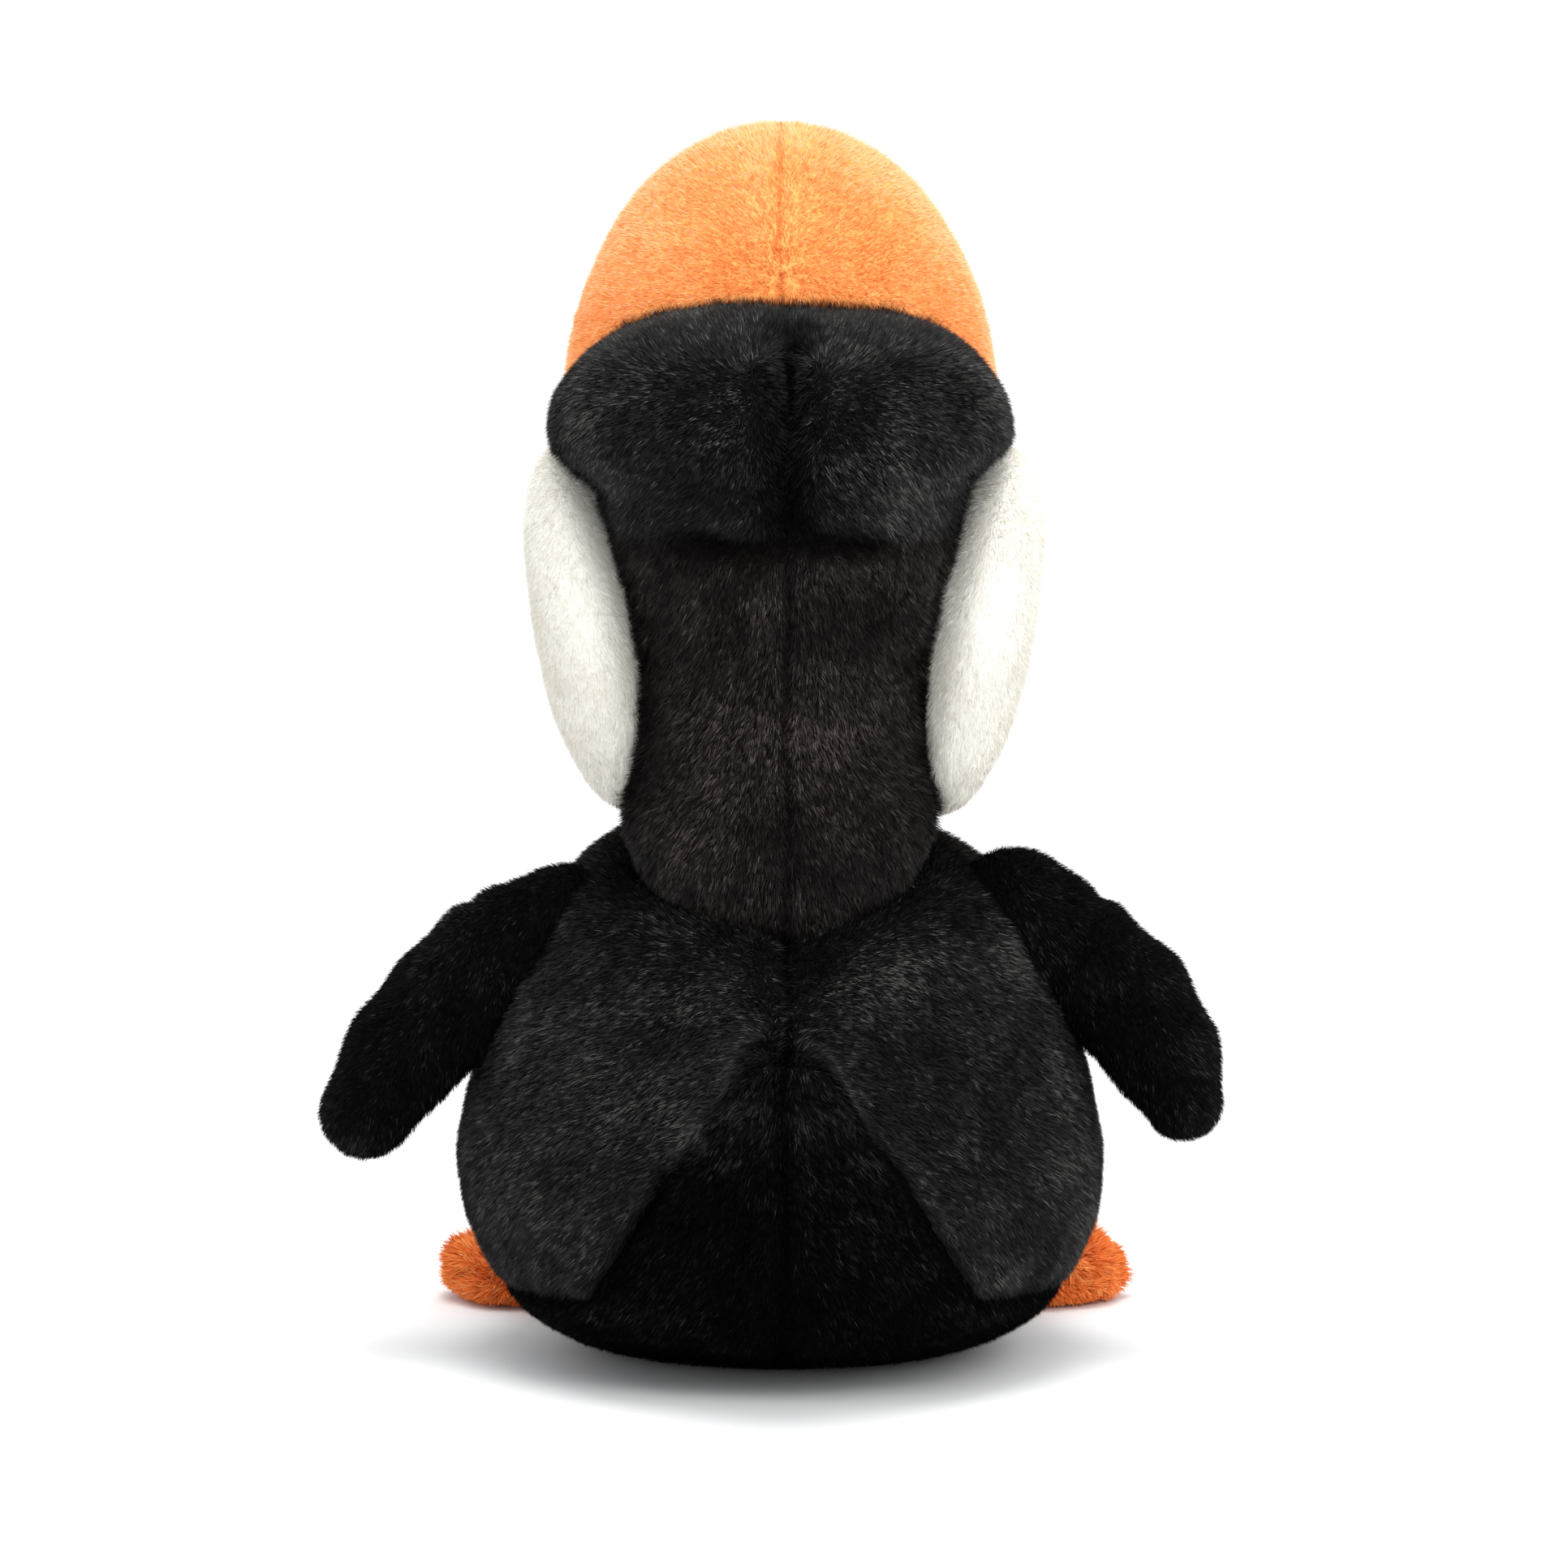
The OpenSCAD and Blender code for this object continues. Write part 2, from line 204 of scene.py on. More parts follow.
def cast(field, centre, reach, res, stretch=(1.0, 1.0, 1.0)):
    """The outermost surface of a field, seen from a centre."""
    dirs, quads = ball_grid(res)
    dirs = unit(dirs * np.array(stretch))
    centre = np.array(centre, float)
    low = np.zeros(len(dirs))
    high = np.full(len(dirs), float(reach))
    found = np.zeros(len(dirs), bool)
    steps = np.linspace(reach, reach * 0.02, 80)
    for outer, inner in zip(steps[:-1], steps[1:]):
        inside = field(centre + dirs * inner) < 0.0
        new = inside & ~found
        high[new] = outer
        low[new] = inner
        found |= new
    for _ in range(22):
        middle = (low + high) / 2
        inside = field(centre + dirs * middle[:, None]) < 0.0
        low = np.where(inside, middle, low)
        high = np.where(inside, high, middle)
    return Surface(centre + dirs * low[:, None], quads)


def relax(surface, rounds=2, amount=0.5):
    q = surface.quads
    for _ in range(rounds):
        total = np.zeros_like(surface.verts)
        count = np.zeros(len(surface.verts))
        for a, b in ((0, 1), (1, 2), (2, 3), (3, 0)):
            np.add.at(total, q[:, a], surface.verts[q[:, b]])
            np.add.at(count, q[:, a], 1)
        surface.verts = surface.verts * (1 - amount) + amount * total / np.maximum(count, 1)[:, None]
    surface.refresh()


def shell(surface, faces, thickness):
    """A closed sheet of some of a surface's faces, with its inner side a thickness below."""
    q = surface.quads[faces]
    used, inverse = np.unique(q, return_inverse=True)
    q = inverse.reshape(q.shape)
    outer = surface.verts[used]
    inner = outer - surface.normals[used] * thickness
    n = len(used)
    edges = np.concatenate([q[:, (k, (k + 1) % 4)] for k in range(4)])
    used_edges = dict.fromkeys((a, b) for a, b in edges)
    rim = [(a, b) for a, b in used_edges if (b, a) not in used_edges]
    sides = np.array([(b, a, a + n, b + n) for a, b in rim], np.int64).reshape(-1, 4)
    return np.vstack((outer, inner)), np.vstack((q, q[:, ::-1] + n, sides))


# ---- pieces
def new_mesh(name, verts, faces, smooth=True):
    """A mesh from points in mm and an array of faces with the same number of corners."""
    verts = np.asarray(verts, np.float32) * MM
    faces = np.asarray(faces, np.int32)
    mesh = bpy.data.meshes.new(name)
    corners = faces.shape[1]
    mesh.vertices.add(len(verts))
    mesh.vertices.foreach_set("co", verts.ravel())
    mesh.loops.add(faces.size)
    mesh.loops.foreach_set("vertex_index", faces.ravel())
    mesh.polygons.add(len(faces))
    mesh.polygons.foreach_set("loop_start", np.arange(0, faces.size, corners, dtype=np.int32))
    mesh.polygons.foreach_set("use_smooth", np.full(len(faces), smooth))
    mesh.update(calc_edges=True)
    mesh.validate()
    return mesh


def add_object(name, data):
    item = bpy.data.objects.new(name, data)
    bpy.context.collection.objects.link(item)
    return item


def new_piece(name, verts, faces, body, materials, replaces=(), smooth=True):
    mesh = new_mesh(name, verts, faces, smooth)
    piece = add_object(name, mesh)
    for material in materials:
        mesh.materials.append(material)
    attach(piece, body)
    if replaces:
        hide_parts(*replaces)
    return piece


# ---- materials
def linear(rgb):
    """Linear colour from everyday 0-255 values."""
    c = np.array(rgb, float) / 255.0
    out = np.where(c <= 0.04045, c / 12.92, ((c + 0.055) / 1.055) ** 2.4)
    return (*[float(x) for x in out], 1.0)


def principled(name, rgb, roughness, sheen=0.0, sheen_rgb=(255, 255, 255), specular=0.3):
    material = bpy.data.materials.new(name)
    material.use_nodes = True
    shader = material.node_tree.nodes["Principled BSDF"]
    shader.inputs["Base Color"].default_value = linear(rgb)
    shader.inputs["Roughness"].default_value = roughness
    shader.inputs["Specular IOR Level"].default_value = specular
    shader.inputs["Sheen Weight"].default_value = sheen
    shader.inputs["Sheen Roughness"].default_value = 0.4
    shader.inputs["Sheen Tint"].default_value = linear(sheen_rgb)
    return material


def add_noise(tree, scale, detail=4.0, roughness=0.6):
    node = tree.nodes.new("ShaderNodeTexNoise")
    node.inputs["Scale"].default_value = scale
    node.inputs["Detail"].default_value = detail
    node.inputs["Roughness"].default_value = roughness
    place = tree.nodes.new("ShaderNodeTexCoord")
    tree.links.new(place.outputs["Object"], node.inputs["Vector"])
    return node


def tint(tree, source, dark, light, start=0.0, end=1.0):
    """Colours the shader from dark to light as a source goes from start to end."""
    colours = tree.nodes.new("ShaderNodeValToRGB")
    ends = colours.color_ramp.elements
    ends[0].position = start
    ends[0].color = linear(dark)
    ends[1].position = end
    ends[1].color = linear(light)
    tree.links.new(source, colours.inputs["Fac"])
    tree.links.new(colours.outputs["Color"], tree.nodes["Principled BSDF"].inputs["Base Color"])


def plush_skin(name, dark, light, roughness=0.85, sheen=0.25, fibre_scale=900.0, patch_scale=45.0, bump=0.4):
    """The knitted ground of a plush: fine fibre ends over slow patches of shade."""
    material = principled(name, light, roughness, sheen if max(light) > 60 else 0.0, light, 0.05)
    tree = material.node_tree
    shader = tree.nodes["Principled BSDF"]
    fibre = add_noise(tree, fibre_scale, 3.0)
    patch = add_noise(tree, patch_scale, 2.0)
    mix = tree.nodes.new("ShaderNodeMath")
    mix.operation = "MULTIPLY_ADD"
    mix.inputs[1].default_value = 0.45
    tree.links.new(patch.outputs["Fac"], mix.inputs[0])
    half = tree.nodes.new("ShaderNodeMath")
    half.operation = "MULTIPLY"
    half.inputs[1].default_value = 0.55
    tree.links.new(fibre.outputs["Fac"], half.inputs[0])
    tree.links.new(half.outputs[0], mix.inputs[2])
    tint(tree, mix.outputs[0], dark, light, 0.3, 0.7)
    relief = tree.nodes.new("ShaderNodeBump")
    relief.inputs["Strength"].default_value = bump
    relief.inputs["Distance"].default_value = 0.0006
    tree.links.new(fibre.outputs["Fac"], relief.inputs["Height"])
    tree.links.new(relief.outputs["Normal"], shader.inputs["Normal"])
    return material


def shades(name, colours, roughness, sheen, specular):
    """One plain finish for each shade of fibre in a pile."""
    return [
        principled(f"{name}_{k}", rgb, roughness, sheen, rgb, specular) for k, rgb in enumerate(colours)
    ]


# the lightest shade of each black pile (black, nape, wing, seat) is a painted highlight, standing in for
# glints on single fibres; the other shades differ at random
BLACK = ((6, 6, 6), (25, 25, 25), (50, 50, 49), (96, 94, 91))
NAPE = ((10, 7, 7), (32, 27, 26), (56, 49, 46), (94, 85, 81))
# the wings' pile is the black pile drawn darker: painted shade where the lie of the pile turns it from the
# light
WING_SHADED = ((1, 1, 1), (7, 7, 8), (21, 21, 22), (54, 53, 53))
# the seat's pile is the black pile drawn darker: painted shade on the panel that faces down
SEAT_SHADED = ((1, 1, 1), (7, 7, 7), (28, 28, 28), (60, 60, 59))
WHITE = ((231, 227, 217), (241, 238, 230), (247, 245, 238), (251, 250, 246))
ORANGE = ((226, 131, 64), (235, 146, 82), (239, 159, 97), (244, 186, 134))
FOOT = ((208, 98, 38), (235, 122, 52), (247, 146, 72), (252, 176, 108))

# for each plush: its ground's dark and light shade, then its fibres' shades, roughness, sheen and specular
PLUSH = {
    "black": ((3, 3, 3), (14, 14, 14), BLACK, 0.5, 0.0, 0.12),
    # the wing ground is the black ground drawn darker: painted shade
    "wing": ((2, 2, 2), (9, 9, 10), WING_SHADED, 0.6, 0.0, 0.05),
    "nape": ((5, 4, 4), (18, 14, 13), NAPE, 0.5, 0.0, 0.12),
    # the seat ground is the black ground drawn darker: painted shade
    "seat": ((1, 1, 1), (6, 6, 6), SEAT_SHADED, 0.7, 0.0, 0.02),
    "white": ((232, 228, 220), (250, 248, 243), WHITE, 0.8, 0.0, 0.25),
    "orange": ((238, 142, 68), (253, 178, 106), ORANGE, 0.8, 0.35, 0.25),
    "foot": ((178, 80, 28), (224, 112, 48), FOOT, 0.8, 0.0, 0.25),
}
FINISH = {
    f"{kind}_plush": (plush_skin(f"{kind}_ground", dark, light), shades(f"{kind}_fibre", *fibres))
    for kind, (dark, light, *fibres) in PLUSH.items()
}

# dark and light shade, roughness, sheen, scale of the fibres and of the patches, and relief
INSIDE = {
    "fibre_fill": ((206, 204, 198), (240, 239, 235), 0.95, 0.2, 500.0, 60.0, 0.8),
    "washer_plastic": ((218, 218, 214), (232, 232, 229), 0.45, 0.0, 1400.0, 90.0, 0.1),
    "pouch_cloth": ((196, 190, 178), (226, 221, 210), 0.9, 0.1, 1200.0, 80.0, 0.5),
    "pellets": ((200, 200, 196), (236, 236, 234), 0.4, 0.0, 380.0, 120.0, 0.6),
}


def material_of(kind):
    return bpy.data.materials.get(kind) or plush_skin(kind, *INSIDE[kind])


# ---- pile
def sow(surface, faces, per_mm2, rng):
    """Random roots on some faces of a surface: their places and normals."""
    q = surface.quads[faces]
    density = per_mm2(surface.centres[faces]) if callable(per_mm2) else per_mm2
    expected = surface.areas[faces] * density
    count = np.floor(expected + rng.random(len(q))).astype(int)
    pick = np.repeat(np.arange(len(q)), count)
    u = rng.random(len(pick))[:, None]
    v = rng.random(len(pick))[:, None]
    corner = q[pick]

    def blend(a):
        return (
            a[corner[:, 0]] * (1 - u) * (1 - v)
            + a[corner[:, 1]] * u * (1 - v)
            + a[corner[:, 2]] * u * v
            + a[corner[:, 3]] * (1 - u) * v
        )

    return blend(surface.verts), unit(blend(surface.normals))


PILE_LIMIT = 190000  # triangles in one piece; a bigger pile is split into numbered pieces


def grow(name, surface, faces, body, finish, lay, length, density, rng,
         width=0.25, lean=47.0, wild=0.34, bent=False, painted_shading=None, upright=None):
    """Pile on some faces of a surface. lay(p, n) is the way the fibres lie.

    bent gives each one a curved second half, the shading argument paints shade by darkening those in a fold
    and paints light where it is below zero, and where upright(p) is 1 they stand more on end.
    """
    root, normal = sow(surface, faces, density, rng)
    n = len(root)
    if n == 0:
        return
    way = lay(root, normal)
    way = way + 1.3 * wild * np.stack([noise(root, 1.7, s) for s in (11, 12, 13)], axis=1)
    way = way + 0.9 * wild * np.stack([noise(root, 12.0, s) for s in (21, 22, 23)], axis=1)
    way = way + 0.3 * wild * rng.normal(size=(n, 3))
    way = unit(way - normal * np.sum(way * normal, axis=1, keepdims=True))
    tilt = lean + 7.0 * rng.normal(size=n) + 12.0 * noise(root, 1.9, 31) + 6.0 * noise(root, 9.0, 32)
    angle = np.radians(tilt)[:, None]
    if upright is not None:
        angle = angle * (1.0 - 0.7 * upright(root))[:, None]
    along = normal * np.cos(angle) + way * np.sin(angle)
    size = (length(root) if callable(length) else length) * (0.75 + 0.5 * rng.random(n))
    side = unit(np.cross(along, normal) + 1e-6)
    turn = rng.normal(size=n)[:, None] * 0.55
    side = unit(side * np.cos(turn) + np.cross(along, side) * np.sin(turn))
    half = width * (0.7 + 0.6 * rng.random(n))[:, None] / 2
    base = root - normal * 0.25
    tone = 0.3 * noise(root, 26.0, 40) + 0.3 * noise(root, 8.0, 41) + 0.5 * noise(root, 0.9, 42)
    tone = tone + 0.3 * rng.normal(size=n)
    # painted shade: fibres in a fold drawn darker; where the shading is below zero, painted light draws them
    # lighter
    if painted_shading is not None:
        tone = tone - painted_shading(root)
    shade = np.digitize(tone, (-0.25, 0.2, 0.62)).astype(np.int32)
    if bent:
        middle = base + along * (size * 0.55)[:, None]
        down = unit(along + way * 0.35 + 0.15 * rng.normal(size=(n, 3)))
        tip = middle + down * (size * 0.5)[:, None]
        corners = (
            base - side * half,
            base + side * half,
            middle + side * half * 0.8,
            middle - side * half * 0.8,
            tip,
        )
        verts = np.stack(corners, axis=1).reshape(-1, 3)
        start = np.arange(n)[:, None, None] * 5
        tris = (np.array(((0, 1, 2), (0, 2, 3), (3, 2, 4)))[None] + start).reshape(-1, 3)
        shade = np.repeat(shade, 3)
    else:
        tip = base + along * size[:, None]
        verts = np.stack((base - side * half, base + side * half, tip), axis=1).reshape(-1, 3)
        tris = np.arange(3 * n).reshape(-1, 3)
    parts = max(1, math.ceil(len(tris) / PILE_LIMIT))
    per = math.ceil(len(tris) / parts / 3) * 3
    for k in range(parts):
        chunk = tris[k * per:(k + 1) * per]
        first = chunk.min()
        last = chunk.max() + 1
        label = name if parts == 1 else f"{name}_{k + 1}"
        piece = new_piece(label, verts[first:last], chunk - first, body, finish, smooth=False)
        piece.data.polygons.foreach_set("material_index", shade[k * per:(k + 1) * per])
        piece.data.update()
    print("pile", name, n)


def lay_down(spread):
    """Down and away from the middle line."""

    def lay(p, n):
        side = np.tanh(p[:, 0] / 6.0)
        return np.stack((spread * side, np.zeros(len(p)), -np.ones(len(p))), axis=1)

    return lay


# ---- the head's form
HEAD_WIDTH = profile((
    (101.0, 0.0), (103.5, 14.5), (108.0, 23.5), (114.0, 29.5), (121.0, 33.5), (128.0, 35.6),
    (136.0, 35.6), (145.0, 33.6), (156.0, 33.1), (167.0, 33.8), (177.0, 35.2), (187.0, 36.8),
    (197.0, 39.6), (206.0, 41.6), (213.0, 42.6), (217.5, 46.8), (222.0, 53.0), (229.0, 53.6),
    (236.0, 50.8), (243.0, 44.8), (248.0, 36.5), (251.3, 25.5), (253.0, 12.0), (253.6, 0.0),
))
HEAD_DEPTH = profile((
    (101.0, 0.0), (103.5, 16.0), (108.0, 26.0), (114.0, 32.0), (121.0, 36.0), (130.0, 38.3),
    (145.0, 38.5), (160.0, 38.5), (175.0, 40.5), (190.0, 44.0), (200.0, 47.5), (212.0, 50.5),
    (224.0, 50.5), (234.0, 46.5), (243.0, 38.5), (249.0, 27.0), (252.5, 14.0), (253.6, 0.0),
))


def head_lean(z):
    """The handmade neck and crown lean a little to the left."""
    return 1.1 * (1.0 - ramp(z, 150.0, 175.0)) + 1.4 * ramp(z, 205.0, 245.0)


def head_field(p):
    x, y, z = p[..., 0] - head_lean(p[..., 2]), p[..., 1] - HEAD_Y, p[..., 2]
    width = read(HEAD_WIDTH, z)
    depth = read(HEAD_DEPTH, z)
    power = 2.0 + 0.35 * ramp(z, 190.0, 225.0)
    ring = ((np.abs(x) / width) ** power + (np.abs(y) / depth) ** power) ** (1 / power)
    beyond = np.maximum(np.maximum(z - HEAD_WIDTH[0][-1], HEAD_WIDTH[0][0] - z), 0.0)
    return (ring - 1.0) * np.minimum(width, depth) + beyond * 3.0 + np.where(beyond > 0.0, 0.1, 0.0)


# ---- the bill's form
BEAK_BACK_Y = 7.0
BEAK_FRONT_Y = -119.0
BEAK_TOP_LINE = profile((
    (BEAK_BACK_Y, 222.0), (5.0, 250.0), (-1.0, 266.0), (-10.0, 279.5), (-22.0, 289.5),
    (-36.0, BEAK_TOP + 1.5), (-52.0, 288.0), (-68.0, 277.5), (-84.0, 261.0), (-98.0, 241.0),
    (-110.0, 217.0), (-117.5, 194.0), (BEAK_FRONT_Y, 178.0),
))
BEAK_LOW_LINE = profile((
    (BEAK_BACK_Y, 221.0), (5.0, 190.0), (-1.0, 172.0), (-10.0, 160.0), (-22.0, 153.0), (-36.0, 150.0),
    (-52.0, 150.5), (-68.0, 152.5), (-84.0, 156.0), (-98.0, 161.0), (-110.0, 167.0), (-117.5, 172.5),
    (BEAK_FRONT_Y, 177.0),
))
BEAK_HALF = profile((
    (BEAK_BACK_Y, 0.0), (5.0, 24.0), (-1.0, 38.5), (-10.0, 47.0), (-22.0, 51.4), (-36.0, 51.7),
    (-52.0, 46.0), (-68.0, 39.0), (-84.0, 30.0), (-98.0, 22.0), (-110.0, 14.5), (-117.5, 7.5),
    (BEAK_FRONT_Y, 0.0),
))
MOUTH_Z = 180.0


def beak_whole(p):
    x, y, z = p[..., 0] - 0.9 * ramp(p[..., 2], 205.0, 245.0), p[..., 1], p[..., 2]
    top = read(BEAK_TOP_LINE, y)
    low = read(BEAK_LOW_LINE, y)
    half = read(BEAK_HALF, y)
    middle = low + 0.5 * (top - low)
    tall = np.maximum((top - low) / 2, 0.01)
    s = (z - middle) / tall
    half = half * (1.0 - 0.12 * ramp(MOUTH_Z - z, -2.0, 4.0))
    power = 2.06
    ring = (np.abs(s) ** power + (np.abs(x) / np.maximum(half, 0.01)) ** power) ** (1 / power)
    outside = np.maximum(np.maximum(y - BEAK_BACK_Y, BEAK_FRONT_Y - y), 0.0)
    return (ring - 1.0) * np.minimum(tall, half) + outside * 5.0


def beak_field(p):
    return smooth_max(beak_whole(p), -(head_field(p) - 0.6), 1.5)


# ---- the cheek pads' form
CHEEK_CENTRE = (45.3, -3.0, 176.5)
CHEEK_TALL = 43.5  # these three are half sizes
CHEEK_LONG = 36.0
CHEEK_THICK = 14.6
CHEEK_LEAN = 0.175  # how far out the pad leans as it rises
CHEEK_DROP = 1.2  # how much lower the right pad is sewn


def cheek_pad(p):
    """The left pad, before the head and the bill cut into it; the right one is its mirror."""
    z = p[..., 2] - CHEEK_CENTRE[2]
    s = z / CHEEK_TALL
    x = p[..., 0] - (CHEEK_CENTRE[0] + CHEEK_LEAN * z)
    y = p[..., 1] - CHEEK_CENTRE[1]
    ring = np.sqrt((x / CHEEK_THICK) ** 2 + (y / (CHEEK_LONG * (1.0 + 0.12 * s))) ** 2 + s**2)
    return (ring - 1.0) * CHEEK_THICK


def both_cheeks(p):
    return np.minimum(cheek_pad(p), cheek_pad(p * MIRROR))


def cheek_field(p):
    away = smooth_max(cheek_pad(p), -(head_field(p) - 0.3), 2.0)
    return smooth_max(away, -(beak_whole(p) - 0.3), 2.0)


# ---- the body's form
BODY_WIDTH = profile((
    (0.0, 27.0), (1.2, 37.0), (3.0, 44.5), (6.0, 51.8), (10.5, 58.8), (18.0, 66.0), (26.0, 71.0),
    (34.0, 74.0), (42.0, 76.0), (50.0, 76.4), (58.0, 75.2), (66.0, 73.4), (78.0, 70.0), (90.0, 65.5),
    (100.0, 60.5), (110.0, 55.0), (118.0, 50.0), (125.0, 44.0), (131.0, 37.0), (136.0, 28.0),
    (139.5, 18.0), (141.0, 0.0),
))
NECKLINE_Z = 123.5
NECKLINE_FALL = math.radians(16.0)
TAIL_START_Y = 20.0
TAIL_TIP_Z = 90.0
TAIL_SLOPE = 0.55
UNDER_SLOPE = 1.089


def tail_half(z):
    return 8.0 + TAIL_SLOPE * (TAIL_TIP_Z - z)


def under_line(y):
    return -8.0 + UNDER_SLOPE * (y - TAIL_START_Y)


def tail_field(p):
    x, y, z = p[..., 0], p[..., 1], p[..., 2]
    side = (np.abs(x) - tail_half(z)) / math.sqrt(1 + TAIL_SLOPE**2)
    under = (under_line(y) - z) / math.sqrt(1 + UNDER_SLOPE**2)
    top = z - (98.0 - 0.09 * (y - TAIL_START_Y))
    wedge = smooth_max(smooth_max(side, under, 3.5), top, 6.0)
    wedge = np.maximum(wedge, 24.0 - z)
    return smooth_max(wedge, TAIL_START_Y - y, 3.0)


def pear_field(p):
    x, y, z = p[..., 0], p[..., 1], p[..., 2]
    width = read(BODY_WIDTH, z) + np.where(x > 0.0, 1.6, 0.2) * hump(z - 58.0, 24.0)
    flat = 1.0 + 0.5 * (1.0 - ramp(z, 0.0, 17.0)) * ramp(y, -8.0, 12.0)
    ring = np.sqrt(x**2 + (y * flat) ** 2)
    pear = np.maximum(np.maximum(ring - width, -z), z - BODY_WIDTH[0][-1])
    neckline = (z - NECKLINE_Z) * math.cos(NECKLINE_FALL) + np.maximum(y, -14.0) * math.sin(NECKLINE_FALL)
    return smooth_max(pear, neckline, 9.0)


def body_field(p):
    whole = smooth_min(pear_field(p), tail_field(p), 16.0)
    return smooth_max(whole, -(head_field(p) - 1.2), 2.0)


def seat_seam(p):
    x, y, z = p[..., 0], p[..., 1], p[..., 2]
    triangle = np.maximum(np.abs(x) - tail_half(z) - 1.5, z - under_line(y) - 6.0)
    triangle = np.maximum(triangle, TAIL_START_Y - y)
    return np.minimum(z - 19.0 - 0.105 * np.maximum(y, 0.0), triangle)


def side_seam(p):
    return p[..., 1] + 18.0


def middle_seam(p):
    return p[..., 0] - 0.5 * np.sin(p[..., 2] / 9.0)


def fill(node, surface, relief, depth, body, inner=None):
    """The stuffing behind a skin: the same form, a depth further in, with a wall round what sits in it."""
    surface.push(relief(surface.verts))
    relax(surface, 2, 0.5)
    surface.push(np.full(len(surface.verts), -depth))
    relax(surface, 1, 0.4)
    verts, quads = surface.verts, surface.quads
    if inner is not None:
        quads = np.vstack((quads, inner.quads[:, ::-1] + len(verts)))
        verts = np.vstack((verts, inner.verts))
    new_piece(f"{node}_wad", verts, quads, body, [material_of("fibre_fill")], (node,))


# ---- the body's pieces
def body_relief(p):
    floor = ramp(p[:, 2], 1.0, 14.0)
    lumps = 0.9 * noise(p, 34.0, 1) + 0.45 * noise(p, 13.0, 2)
    behind = ramp(p[:, 1], 5.0, 40.0)
    middle = hump(middle_seam(p), 2.2) * 1.3
    valley = hump(p[:, 0] + 3.0, 9.0) * hump(p[:, 2] - 104.0, 13.0) * behind * 4.0
    seat = hump(seat_seam(p), 1.6) * 0.8
    crease = hump(seat_seam(p), 2.4) * ramp(p[:, 0], 2.0, 10.0) * behind
    crease = crease * ramp(p[:, 2], 34.0, 48.0) * 3.4
    sides = hump(side_seam(p), 1.8) * 0.9
    puckers = 0.7 * hump(side_seam(p) - 12.0, 12.0) * np.sin(p[:, 2] / 3.1) * hump(p[:, 2] - 32.0, 16.0)
    gathers = np.sin(np.arctan2(p[:, 0], np.maximum(p[:, 1], 1.0)) * 26.0 + 2.0 * noise(p, 20.0, 3))
    puckers = puckers + 0.8 * gathers * hump(p[:, 2] - 30.0, 8.0) * behind * ramp(np.abs(p[:, 0]), 30.0, 42.0)
    return (lumps - puckers) * floor - (middle * behind + valley + seat + crease + sides) * floor


BODY_REACH = 150.0
BODY_STRETCH = (1.0, 1.05, 1.0)


def body_surface():
    surface = cast(body_field, (0.0, 15.0, 52.0), BODY_REACH, 84, BODY_STRETCH)
    relax(surface, 1, 0.35)
    surface.push(body_relief(surface.verts))
    surface.verts[:, 2] = np.maximum(surface.verts[:, 2], 0.0)
    surface.snap(seat_seam, 0.9)
    surface.snap(side_seam, 0.8)
    surface.snap(middle_seam, 0.8)
    return surface


def body_panels(surface):
    c = surface.centres
    seat = seat_seam(c) < 0
    tummy = ~seat & (side_seam(c) < 0)
    left = ~seat & ~tummy & (middle_seam(c) > 0)
    right = ~seat & ~tummy & ~left
    return {"seat_panel": seat, "tummy_panel": tummy, "back_panel_left": left, "back_panel_right": right}


def lay_body(p, n):
    """Down, outwards from the middle line, and back along the tail."""
    side = np.tanh(p[:, 0] / 7.0)
    tail = ramp(p[:, 1], 62.0, 95.0)
    return np.stack((0.75 * side, 0.35 * tail, -np.ones(len(p))), axis=1)


# the plush of a body panel and its slot; the others are black. The seat's plush is the black one drawn darker
# as painted shade.
BODY_PLUSH = {"seat_panel": ("seat_plush", "black_plush"), "tummy_panel": ("white_plush", "white_plush")}


def make_body():
    surface = body_surface()
    rng = np.random.default_rng(101)
    for node, mask in body_panels(surface).items():
        faces = np.flatnonzero(mask)
        kind, slot = BODY_PLUSH.get(node, ("black_plush", "black_plush"))

        # painted shade: the seat's fibres drawn darker low down and lighter towards the tail's tip, and all
        # fibres darker along the seat and middle seams
        def painted_shading(r):
            low = 0.35 - 0.75 * ramp(r[:, 2], 46.0, 80.0) if node == "seat_panel" else 0.0
            return low + 0.8 * hump(seat_seam(r), 2.0) + 0.5 * hump(middle_seam(r), 1.6)

        ground, fibres = FINISH[kind]
        verts, quads = shell(surface, faces, SKIN)
        new_piece(f"{node}_skin", verts, quads, "body", [ground], (node,))

        def density(c):
            open_air = ramp(head_field(c), 1.0, 2.5) * ramp(c[:, 2], 0.6, 1.6)
            return 6.2 * open_air

        def length(r):
            low = 0.35 + 0.65 * ramp(r[:, 2], 0.0, 6.0)
            return PILE * low * (0.6 + 0.4 * ramp(head_field(r), 1.0, 7.0))

        grow(f"{node}_pile", surface, faces, "body", fibres, lay_body, length, density, rng, painted_shading=painted_shading)
    fill_body()


PAD_CENTRE = np.array((0.0, HEAD_Y, 98.5))
PAD_HALF = np.array((16.0, 16.0, 3.6))


def pad_field(p):
    return (np.sqrt((((p - PAD_CENTRE) / PAD_HALF) ** 2).sum(axis=-1)) - 1.0) * PAD_HALF[2]


